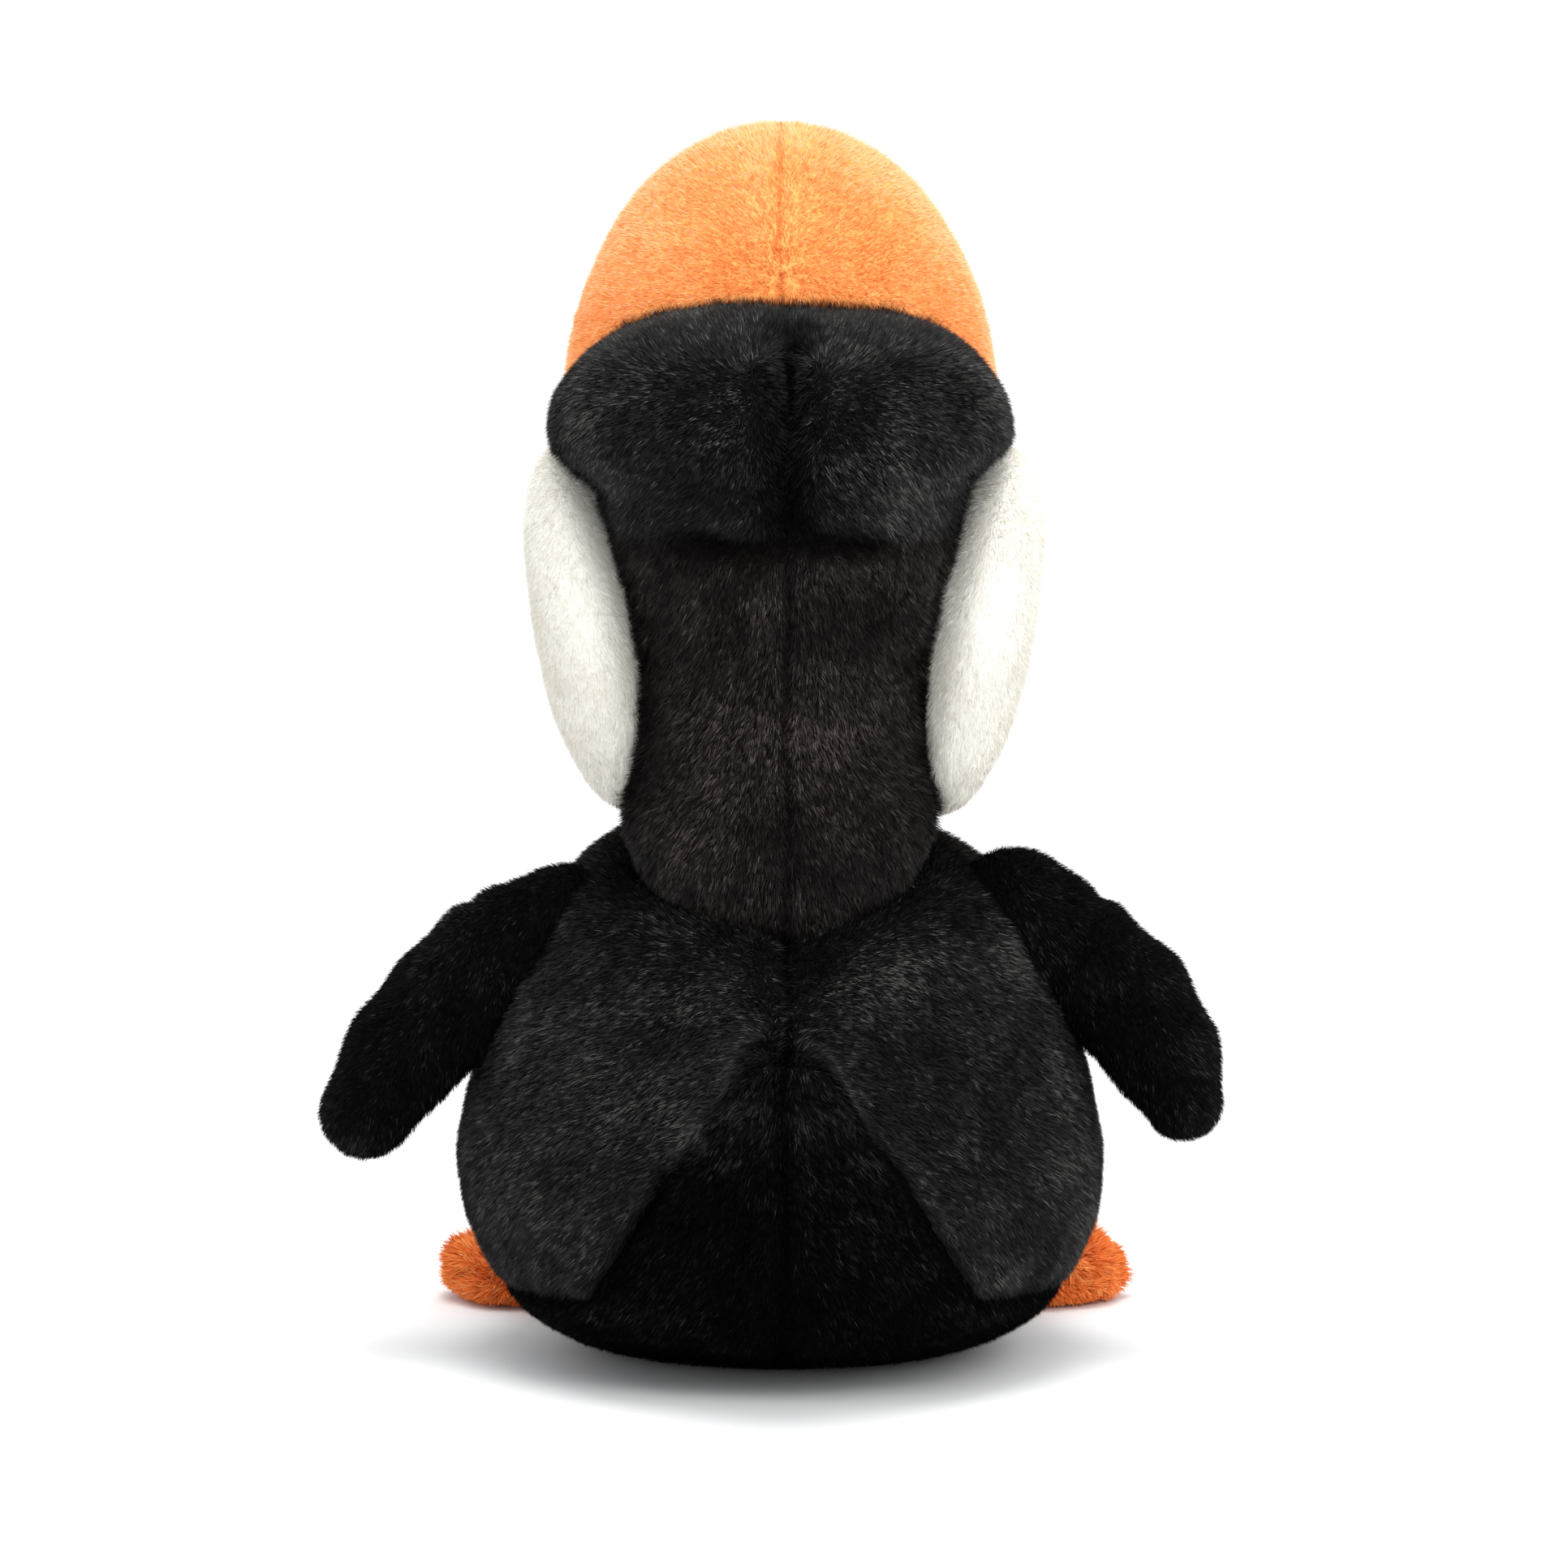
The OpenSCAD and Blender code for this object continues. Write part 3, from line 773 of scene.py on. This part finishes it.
def fill_body():
    def field(p):
        return smooth_max(body_field(p), -(pad_field(p) - 3.6), 1.0)

    outer = cast(field, (0.0, 15.0, 58.0), BODY_REACH, 44, BODY_STRETCH)
    middle = (POUCH_LOW + POUCH_HIGH) / 2
    half = (POUCH_HIGH - POUCH_LOW) / 2 + 0.4
    dirs, quads = ball_grid(16)
    inner = Surface(middle + dirs * half, quads)
    fill("body_stuffing", outer, body_relief, SKIN + 1.0, "body", inner)
    dirs, quads = ball_grid(12)
    pad = Surface(PAD_CENTRE + dirs * PAD_HALF, quads)
    pad.push(0.25 * noise(pad.verts, 6.0, 61))
    finish = [material_of("fibre_fill")]
    new_piece("neck_stuffing_wad", pad.verts, pad.quads, "neck", finish, ("neck_stuffing",))


# ---- the head's pieces
HEAD_CENTRE = (0.0, HEAD_Y, 186.0)
HEAD_REACH = 110.0
HEAD_STRETCH = (1.0, 1.0, 1.25)


def head_middle(p):
    return p[..., 0] + 0.6 - 0.5 * np.sin(p[..., 2] / 8.0)


def face_seam(p):
    """The white face's side seams; below the cheeks they swing forward to meet the body's."""
    return p[..., 1] + 17.0 * (1.0 - ramp(p[..., 2], 132.0, 152.0))


def head_relief(p):
    behind = ramp(p[:, 1], HEAD_Y - 14.0, HEAD_Y + 6.0)
    crown = ramp(p[:, 2], CREASE_Z - 2.0, CREASE_Z + 6.0)
    back = ramp(p[:, 1], HEAD_Y + 8.0, HEAD_Y + 34.0)
    cleft = hump(head_middle(p), 4.6) * 7.5 + hump(head_middle(p), 13.0) * 2.0
    cleft = cleft * crown * (0.22 + 0.78 * back) * behind
    seam = hump(head_middle(p), 1.3) * 0.9 * (1 - crown) * behind
    wide = 1.0 - ramp(np.abs(p[:, 0]), 18.0, 30.0)
    crease = hump(p[:, 2] - CREASE_Z + 0.8 * np.sin(p[:, 0] / 5.0), 3.2) * behind * (0.7 + 3.4 * wide)
    lumps = 0.6 * noise(p, 26.0, 5) + 0.3 * noise(p, 11.0, 6)
    lobes = 1.4 * hump(np.abs(p[:, 0]) - 24.0, 14.0) * hump(p[:, 2] - 228.0, 18.0) * behind
    return lumps + lobes - cleft - seam - crease


def head_painted_shade(p):
    """Painted shade: how far down the folds of the head a fibre sits, which is how much darker it is drawn.
    """
    behind = ramp(p[:, 1], HEAD_Y, HEAD_Y + 20.0)
    crown = ramp(p[:, 2], CREASE_Z - 2.0, CREASE_Z + 6.0)
    wide = 1.0 - ramp(np.abs(p[:, 0]), 18.0, 30.0)
    cleft = hump(head_middle(p), 4.2) * crown * behind * 1.6
    return cleft + 0.5 * hump(head_middle(p), 1.4) + hump(p[:, 2] - CREASE_Z, 2.6) * wide * behind


def head_surface():
    surface = cast(head_field, HEAD_CENTRE, HEAD_REACH, 80, HEAD_STRETCH)
    surface.push(head_relief(surface.verts))
    surface.snap(face_seam, 0.8)
    surface.snap(lambda q: q[..., 2] - CREASE_Z, 0.8)
    surface.snap(head_middle, 0.8)
    return surface


def head_panels(surface):
    c = surface.centres
    upper = c[:, 2] > CREASE_Z
    front = ~upper & (face_seam(c) < 0)
    lower = ~upper & ~front
    left = head_middle(c) > 0
    return {
        "face_panel": front,
        "crown_left": upper & left,
        "crown_right": upper & ~left,
        "nape_left": lower & left,
        "nape_right": lower & ~left,
    }


def white_or_orange(p):
    return np.minimum(both_cheeks(p), beak_whole(p))


def near_edge(p):
    """1 next to a cheek pad or the bill, where black fibres hang over it in a fringe."""
    return hump(np.maximum(white_or_orange(p), 0.0), 2.6)


def make_head():
    surface = head_surface()
    rng = np.random.default_rng(202)
    for node, mask in head_panels(surface).items():
        faces = np.flatnonzero(mask)
        kind = {"nape": "nape_plush", "face": "white_plush"}.get(node[:4], "black_plush")
        ground, fibres = FINISH[kind]
        verts, quads = shell(surface, faces, SKIN)
        new_piece(f"{node}_skin", verts, quads, "head", [ground], (node,))

        def density(c):
            return 6.4 * ramp(beak_whole(c), -3.0, -0.5) * ramp(both_cheeks(c), -3.0, -0.5)

        spread = 0.8 if node.startswith("crown") else 0.15

        def lay(p, n):
            way = lay_down(spread)(p, n)
            top = ramp(p[:, 2], 238.0, 250.0)
            way[:, 2] = way[:, 2] * (1 - top)
            way[:, 1] = way[:, 1] - 0.9 * top
            return way

        def length(r):
            ragged = 0.75 + 0.75 * noise(r, 2.4, 71)
            return PILE * (1.0 + 0.9 * near_edge(r) * ragged)

        grow(f"{node}_pile", surface, faces, "head", fibres, lay, length, density, rng,
             painted_shading=head_painted_shade, upright=near_edge)
    wad = cast(head_field, HEAD_CENTRE, HEAD_REACH, 40, HEAD_STRETCH)
    fill("head_stuffing", wad, head_relief, SKIN + 1.0, "head")


# ---- the bill's pieces
def beak_relief(p):
    front = ramp(head_field(p), 1.0, 4.0)
    seam = hump(beak_middle(p), 1.5) * 0.45 * ramp(p[:, 2], MOUTH_Z, MOUTH_Z + 6.0)
    mouth = hump(p[:, 2] - MOUTH_Z, 1.8) * 2.0
    lumps = 0.5 * noise(p, 24.0, 8) + 0.25 * noise(p, 10.0, 9)
    ribs = 0.07 * np.sin(beak_arc(p) * 1.5)
    return (lumps + ribs - seam - mouth) * front


def beak_middle(p):
    return p[..., 0] - 0.9 - 0.3 * np.sin(p[..., 2] / 7.0)


def beak_arc(p):
    """Changes evenly from the tip to the head, for the faint ribs that run round the bill."""
    return 1.1 * p[..., 1] + 0.9 * noise(p, 14.0, 77)


BEAK_CENTRE = (0.0, -58.0, 222.0)
BEAK_REACH = 110.0


def make_beak():
    surface = cast(beak_field, BEAK_CENTRE, BEAK_REACH, 76)
    relax(surface, 1, 0.3)
    surface.push(beak_relief(surface.verts))
    surface.snap(lambda q: q[..., 2] - MOUTH_Z, 0.8)
    surface.snap(beak_middle, 0.8)
    c = surface.centres
    lower = c[:, 2] < MOUTH_Z
    left = ~lower & (beak_middle(c) > 0)
    parts = {"beak_lower": lower, "beak_upper_left": left, "beak_upper_right": ~lower & ~left}
    ground, fibres = FINISH["orange_plush"]
    rng = np.random.default_rng(303)
    for node, mask in parts.items():
        faces = np.flatnonzero(mask)
        verts, quads = shell(surface, faces, SKIN)
        new_piece(f"{node}_skin", verts, quads, "head", [ground], (node,))

        def density(c):
            return 6.5 * ramp(head_field(c), 0.8, 1.6)

        def lay(p, n):
            side = np.tanh(p[:, 0] / 12.0)
            return np.stack((0.55 * side, -0.75 * np.ones(len(p)), -0.25 * np.ones(len(p))), axis=1)

        # painted shade darkens the middle seam and the mouth line; a painted sheen lightens the bill where it
        # turns away at its widest, and a faint tone follows the ribs
        def painted_shading(r):
            seam = hump(beak_middle(r), 1.0) * ramp(r[:, 2], MOUTH_Z, MOUTH_Z + 4.0)
            painted_sheen_and_rib_tone = 0.95 * hump(r[:, 1] + 36.0, 21.0) + 0.1 * np.sin(beak_arc(r) * 1.5)
            return 0.7 * seam + 0.7 * hump(r[:, 2] - MOUTH_Z, 1.6) - painted_sheen_and_rib_tone

        grow(f"{node}_pile", surface, faces, "head", fibres, lay, PILE * 0.8, density, rng,
             lean=52.0, wild=0.22, painted_shading=painted_shading)
    wad = cast(beak_field, BEAK_CENTRE, BEAK_REACH, 36)
    fill("beak_stuffing", wad, beak_relief, SKIN + 1.0, "head")


# ---- cheeks and eyes
EYE_SUNK = 5.0  # how far in from its CAD node's back an eye's post starts
EYE_RISE = 4.0  # height of its dome


def make_cheek(side, sign):
    surface = cast(cheek_field, (47.0, -3.0, 178.0), 60.0, 48, stretch=(0.45, 1.0, 1.0))
    p = surface.verts
    away = np.hypot(p[:, 1] - EYE_CENTRE[1], p[:, 2] - EYE_CENTRE[2])
    outer = ramp(p[:, 0], 46.0, 54.0)
    dimple = outer * (hump(away, EYE_R * 1.1) * 4.6 + hump(away, EYE_R * 2.5) * 2.0)
    rim = hump(head_field(p) - 0.3, 1.2) * 0.3
    lumps = 0.4 * noise(p, 18.0, 15) + 0.2 * noise(p, 8.0, 16)
    surface.push(lumps - dimple - rim)
    if sign < 0:
        surface.mirror()
        surface.verts[:, 2] -= CHEEK_DROP
        surface.refresh()
    rng = np.random.default_rng(404 if sign > 0 else 405)
    ground, fibres = FINISH["white_plush"]
    faces = np.arange(len(surface.quads))
    node = f"cheek_{side}"
    verts, quads = surface.verts, surface.quads
    new_piece(f"{node}_pad", verts, quads, "head", [ground], (node,))

    def density(c):
        eye = np.hypot(c[:, 1] - EYE_CENTRE[1], c[:, 2] - EYE_CENTRE[2])
        hidden = ramp(head_field(c), 0.8, 2.0) * ramp(beak_whole(c), 0.6, 1.6)
        return 6.2 * hidden * np.where(sign * c[:, 0] > 40.0, ramp(eye, EYE_R * 0.8, EYE_R * 1.05), 1.0)

    def lay(p, n):
        return np.stack((np.zeros(len(p)), 0.35 * np.ones(len(p)), -np.ones(len(p))), axis=1)

    grow(f"{node}_pile", surface, faces, "head", fibres, lay, PILE * 0.9, density, rng,
         lean=52.0)


def turned(points, centre, axis_sign, around=48):
    """A form turned about the x axis: points are (radius, height along x)."""
    pts = np.array(points, float)
    angle = np.linspace(0, 2 * math.pi, around, endpoint=False)
    verts = []
    for r, h in pts:
        verts.append(np.stack((np.full(around, h) * axis_sign, r * np.cos(angle), r * np.sin(angle)), axis=1))
    verts = np.concatenate(verts) + centre
    faces = []
    for k in range(len(pts) - 1):
        for j in range(around):
            a = k * around + j
            b = k * around + (j + 1) % around
            faces.append((a, b, b + around, a + around))
    return verts, np.array(faces)


def make_eye(side, sign):
    low, high = box_mm(f"eye_{side}")
    centre = (low + high) / 2
    length = EYE_HIGH[0] - EYE_LOW[0]
    base = EYE_CENTRE[0] - length / 2
    r = EYE_R
    rim = length - EYE_RISE
    curve = [
        (0.01, 0.0), (1.9, 0.0), (2.2, 0.3), (2.2, rim - 0.5),
        (r - 0.8, rim - 0.5), (r - 0.2, rim - 0.3), (r, rim + 0.1),
    ]
    for k in range(1, 12):
        a = k / 11 * math.pi / 2
        curve.append((max(r * math.cos(a), 0.01), rim + 0.1 + (EYE_RISE - 0.1) * math.sin(a)))
    start = np.array((sign * (base - EYE_SUNK), centre[1], centre[2]))
    verts, faces = turned(curve, start, sign)
    if sign < 0:
        faces = faces[:, ::-1]
    gloss = bpy.data.materials.get("eye_gloss") or eye_material()
    new_piece(f"eye_{side}_dome", verts, faces, "head", [gloss], (f"eye_{side}",))


def eye_material():
    material = principled("eye_gloss", (9, 8, 8), 0.08, specular=0.6)
    tree = material.node_tree
    shader = tree.nodes["Principled BSDF"]
    shader.inputs["Coat Weight"].default_value = 0.6
    shader.inputs["Coat Roughness"].default_value = 0.04
    cloud = add_noise(tree, 260.0, 3.0)
    tint(tree, cloud.outputs["Fac"], (6, 5, 5), (20, 15, 13))
    return material


# ---- cloth
def cloth(surface, pressure, frames, cap, pinned, name):
    """Cloth with pressure on a closed surface, then one smoothing pass.

    pinned(p) is 1 where it is sewn down, and no point moves more than cap. At the pressures used here the
    cloth itself moves no point by more than 0.1 mm.
    """
    mesh = new_mesh(f"{name}_bag", surface.verts, surface.quads)
    bag = add_object(f"{name}_bag", mesh)
    group = bag.vertex_groups.new(name="pin")
    weight = pinned(surface.verts)
    for i in np.flatnonzero(weight > 0.01):
        group.add([int(i)], float(weight[i]), "REPLACE")
    modifier = bag.modifiers.new("cloth", "CLOTH")
    settings = modifier.settings
    settings.quality = 4
    settings.mass = 0.25
    settings.tension_stiffness = 12.0
    settings.compression_stiffness = 12.0
    settings.shear_stiffness = 5.0
    settings.bending_stiffness = 0.4
    settings.use_pressure = True
    settings.uniform_pressure_force = pressure
    settings.effector_weights.gravity = 0.0
    settings.vertex_group_mass = "pin"
    modifier.collision_settings.use_collision = False
    modifier.point_cache.frame_start = 1
    modifier.point_cache.frame_end = frames
    scene = bpy.context.scene
    for step in range(1, frames + 1):
        scene.frame_set(step)
    graph = bpy.context.evaluated_depsgraph_get()
    swollen = bag.evaluated_get(graph).to_mesh()
    flat = np.empty(len(swollen.vertices) * 3, np.float32)
    swollen.vertices.foreach_get("co", flat)
    moved = flat.reshape(-1, 3).astype(float) / MM
    bag.evaluated_get(graph).to_mesh_clear()
    scene.frame_set(1)
    bpy.data.objects.remove(bag, do_unlink=True)
    shift = moved - surface.verts
    size = np.linalg.norm(shift, axis=1, keepdims=True)
    shift = shift * np.minimum(1.0, cap / np.maximum(size, 1e-6))
    print("cloth", name, "largest move", float(size.max()))
    surface.verts = surface.verts + shift
    surface.refresh()
    relax(surface, 1, 0.4)
    return surface


# ---- wings
# for each side: the middle line out from the root, as (x, z), and the half width at each of its points
WING_SPINE = {
    1.0: (
        ((52.0, 106.0), (68.5, 98.0), (79.5, 87.0), (91.0, 75.0), (100.0, 61.5)),
        (14.5, 15.2, 15.2, 13.8, 11.2),
    ),
    -1.0: (
        ((55.0, 108.5), (69.5, 100.0), (82.0, 88.0), (90.5, 75.5), (95.3, 64.0)),
        (16.0, 14.5, 15.0, 13.2, 9.6),
    ),
}


def wing_outline(p, sign):
    """About the distance outside a wing's outline, seen from behind; the wings differ as sewn ones do."""
    x, z = p[..., 0], p[..., 2]
    spine, girth = (np.array(part) for part in WING_SPINE[sign])
    best = np.full(x.shape, 1e9)
    for k in range(len(spine) - 1):
        a, b = spine[k], spine[k + 1]
        d = b - a
        t = np.clip(((x - a[0]) * d[0] + (z - a[1]) * d[1]) / (d @ d), 0.0, 1.0)
        r = girth[k] + (girth[k + 1] - girth[k]) * t
        away = np.hypot(x - a[0] - d[0] * t, z - a[1] - d[1] * t) - r
        best = smooth_min(best, away, 4.0) if k else away
    return best


WING_THICK = 10.5
WING_Y = 8.0  # the seam's plane at the root
WING_ROOT_X = 62.0  # the root, at 100 mm up


def wing_sweep(x):
    """How far back the seam moves from there to the tip."""
    return 4.0 * ramp(x, 70.0, 104.0)


def wing_root(z):
    """How much further out the root is at another height."""
    return 0.62 * (z - 100.0)


def no_relief(p):
    return 0.0 * p[:, 0]


def wing_field(p, sign):
    edge = wing_outline(p, sign)
    inside = np.clip(-edge / 14.5, 0.0, 1.0)
    thick = WING_THICK * np.sqrt(np.maximum(1.0 - (1.0 - inside) ** 2, 0.0)) + 1.0
    y = p[..., 1] - WING_Y - wing_sweep(p[..., 0])
    pillow = np.abs(y) - thick
    return smooth_max(pillow, edge, 3.0)


def make_wing(side, sign):
    surface = cast(lambda q: wing_field(q, sign), (78.0, 9.0, 88.0), 70.0, 44, stretch=(1.0, 0.55, 1.0))

    def pinned(p):
        return 1.0 - ramp(p[:, 0] - wing_root(p[:, 2]), WING_ROOT_X, WING_ROOT_X + 12.0)

    body = f"wing_{side}"
    cloth(surface, 3.0, 14, 2.5, pinned, body)
    p = surface.verts
    edge = hump(wing_outline(p, sign) + 0.8, 1.2) * hump(p[:, 1] - WING_Y, 3.0)
    lumps = 0.5 * noise(p, 17.0, 25 if sign > 0 else 26) + 0.2 * noise(p, 7.0, 27)
    root = WING_ROOT_X + wing_root(p[:, 2])
    tuck = hump(p[:, 0] - root - 6.0, 3.5) * 1.6
    surface.push(lumps - edge * 0.8 - tuck)
    surface.snap(lambda q: q[..., 1] - WING_Y - wing_sweep(q[..., 0]), 0.7)
    if sign < 0:
        surface.mirror()
    c = surface.centres
    rear = c[:, 1] > WING_Y + wing_sweep(np.abs(c[:, 0]))
    fill(f"{body}_stuffing", Surface(surface.verts.copy(), surface.quads), no_relief, 2.4, body)
    # the wing plush is the black plush drawn darker as painted shade
    ground, fibres = FINISH["wing_plush"]
    rng = np.random.default_rng(505 if sign > 0 else 506)
    for node, mask in ((f"{body}_top", rear), (f"{body}_under", ~rear)):
        faces = np.flatnonzero(mask)
        verts, quads = shell(surface, faces, LIMB_SKIN)
        new_piece(f"{node}_skin", verts, quads, body, [ground], (node,))

        def density(c):
            return 6.2 * ramp(pear_field(c), -1.5, 0.0)

        def lay(p, n):
            return np.stack((0.75 * sign * np.ones(len(p)), np.zeros(len(p)), -np.ones(len(p))), axis=1)

        grow(f"{node}_pile", surface, faces, body, fibres, lay, PILE * 0.95, density, rng)


# ---- feet
FOOT_HINGE = next(j for j in frame["joints"] if j["name"] == "foot_left_lift")
FOOT_ROOT = math.hypot(FOOT_HINGE["pos_m"][0], FOOT_HINGE["pos_m"][1]) / MM
FOOT_WAY = np.array(FOOT_HINGE["pos_m"][:2]) / MM / FOOT_ROOT
FOOT_SEAM_Z = 8.0
TOE_SPREAD = 16.0  # between the middles of two toes


def foot_local(p):
    """Along the foot, across it and up, in mm."""
    along = p[..., 0] * FOOT_WAY[0] + p[..., 1] * FOOT_WAY[1] - FOOT_ROOT
    across = p[..., 0] * FOOT_WAY[1] * -1.0 + p[..., 1] * FOOT_WAY[0]
    return along, across, p[..., 2]


def foot_field(p):
    a, s, z = foot_local(p)
    high = np.where(z < FOOT_SEAM_Z, (z - FOOT_SEAM_Z) / 11.0, (z - FOOT_SEAM_Z) / 8.2)
    heel = np.sqrt(((a - 14.0) / 21.0) ** 2 + (s / 15.5) ** 2 + high**2) - 1.0
    field = heel * 9.0
    for toe in (-1, 0, 1):
        reach = 26.0 if toe else 35.0
        centre_s = toe * TOE_SPREAD
        lobe = np.sqrt(((a - reach) / 14.0) ** 2 + ((s - centre_s) / 9.6) ** 2 + high**2) - 1.0
        field = smooth_min(field, lobe * 8.5, 5.0)
    return smooth_max(field, 0.2 - z, 2.0)


def make_foot(side, sign):
    centre = FOOT_WAY * (FOOT_ROOT + 24.0)
    surface = cast(foot_field, (centre[0], centre[1], 9.0), 48.0, 40, stretch=(1.0, 1.0, 0.6))

    def pinned(p):
        a, s, z = foot_local(p)
        return np.maximum(1.0 - ramp(a, 0.0, 8.0), 1.0 - ramp(z, 0.8, 2.0))

    body = f"foot_{side}"
    cloth(surface, 3.0, 12, 1.5, pinned, body)
    p = surface.verts
    a, s, z = foot_local(p)
    between = hump(s - TOE_SPREAD / 2, 1.8) + hump(s + TOE_SPREAD / 2, 1.8)
    groove = between * ramp(a, 20.0, 30.0) * ramp(z, 4.0, 9.0) * 2.4
    sole = hump(z - FOOT_SEAM_Z, 1.7) * 1.6
    lumps = 0.5 * noise(p, 12.0, 35 if sign > 0 else 36)
    surface.push((lumps - groove - sole) * ramp(z, 1.0, 4.0))
    surface.verts[:, 2] = np.maximum(surface.verts[:, 2], 0.2)
    surface.snap(lambda q: q[..., 2] - FOOT_SEAM_Z, 0.6)
    if sign < 0:
        surface.mirror()
    c = surface.centres
    upper = c[:, 2] > FOOT_SEAM_Z
    fill(f"{body}_stuffing", Surface(surface.verts.copy(), surface.quads), no_relief, 2.4, body)
    ground, fibres = FINISH["foot_plush"]
    rng = np.random.default_rng(606 if sign > 0 else 607)
    for node, mask in ((f"{body}_upper", upper), (f"{body}_sole", ~upper)):
        faces = np.flatnonzero(mask)
        verts, quads = shell(surface, faces, LIMB_SKIN)
        new_piece(f"{node}_skin", verts, quads, body, [ground], (node,))

        def density(c):
            return 5.5 * ramp(pear_field(c), 0.5, 2.5) * ramp(c[:, 2], 0.8, 1.8)

        def length(r):
            tuft = 0.8 + 0.5 * noise(r, 3.4, 81)
            return 4.4 * tuft * (0.3 + 0.7 * ramp(r[:, 2], 0.5, 7.0))

        def lay(p, n):
            return np.tile((sign * FOOT_WAY[0], FOOT_WAY[1], -0.25), (len(p), 1))

        grow(f"{node}_pile", surface, faces, body, fibres, lay, length, density, rng,
             width=0.32, lean=36.0, wild=1.0, bent=True)


# ---- inside
def finish_inside():
    kinds = {"eye_washer_left": "washer_plastic", "eye_washer_right": "washer_plastic",
             "pellet_pouch": "pouch_cloth", "pellets": "pellets"}
    for name, kind in kinds.items():
        for place in frame["nodes"][name].material_slots:
            place.material = material_of(kind)


# ---- stage
def floor_material():
    material = principled("floor_paper", (250, 250, 250), 0.9, specular=0.1)
    grain = add_noise(material.node_tree, 30.0, 3.0)
    tint(material.node_tree, grain.outputs["Fac"], (249, 249, 249), (252, 252, 252))
    return material


def make_floor():
    half = 4000.0
    verts = [(-half, -half, 0), (half, -half, 0), (half, half, 0), (-half, half, 0)]
    mesh = new_mesh("floor", verts, [(0, 1, 2, 3)])
    floor = add_object("floor", mesh)
    mesh.materials.append(floor_material())


def aim(item, way):
    item.rotation_mode = "QUATERNION"
    item.rotation_quaternion = mathutils.Vector(way).to_track_quat("-Z", "Y")


def add_light(name, place, target, size, power):
    data = bpy.data.lights.new(name, "AREA")
    data.shape = "DISK"
    data.size = size
    data.energy = power
    light = add_object(name, data)
    light.location = place
    aim(light, np.array(target) - np.array(place))


def make_lights():
    world = bpy.data.worlds.new("studio")
    bpy.context.scene.world = world
    world.use_nodes = True
    tree = world.node_tree
    white = tree.nodes["Background"]
    white.inputs["Color"].default_value = (0.965, 0.98, 1.0, 1.0)
    white.inputs["Strength"].default_value = 0.96
    backdrop = tree.nodes.new("ShaderNodeBackground")
    backdrop.inputs["Color"].default_value = (1.0, 1.0, 1.0, 1.0)
    backdrop.inputs["Strength"].default_value = 1.0
    ray = tree.nodes.new("ShaderNodeLightPath")
    mix = tree.nodes.new("ShaderNodeMixShader")
    tree.links.new(ray.outputs["Is Camera Ray"], mix.inputs["Fac"])
    tree.links.new(white.outputs[0], mix.inputs[1])
    tree.links.new(backdrop.outputs[0], mix.inputs[2])
    tree.links.new(mix.outputs[0], tree.nodes["World Output"].inputs["Surface"])
    sun = bpy.data.lights.new("sky", "SUN")
    sun.energy = 0.75
    sun.color = (1.0, 0.985, 0.965)
    sun.angle = math.radians(50.0)
    aim(add_object("sky", sun), (0.22, -0.7, -1.2))
    add_light("overhead", (0.0, 0.15, 1.1), (0.0, 0.0, 0.1), 0.7, 7.0)
    add_light("behind_right", (-0.7, 0.9, 0.7), (0.0, 0.0, 0.13), 0.6, 4.0)


def make_camera():
    data = bpy.data.cameras.new("view")
    camera = add_object("view", data)
    distance = 2.0
    elevation = math.radians(8.0)
    target = (0.0, 0.0, 0.1386)
    height = 0.3756
    data.sensor_width = 36.0
    data.lens = 18.0 / (height / 2 / distance)
    camera.location = (0.0, distance * math.cos(elevation), target[2] + distance * math.sin(elevation))
    camera.rotation_euler = (math.radians(90.0) - elevation, 0.0, math.radians(180.0))
    bpy.context.scene.camera = camera


make_camera()
make_lights()
make_floor()
bpy.context.scene.view_settings.view_transform = "Standard"
make_body()
make_head()
make_beak()
for side_name, side_sign in SIDES:
    make_cheek(side_name, side_sign)
    make_eye(side_name, side_sign)
    make_wing(side_name, side_sign)
    make_foot(side_name, side_sign)
finish_inside()
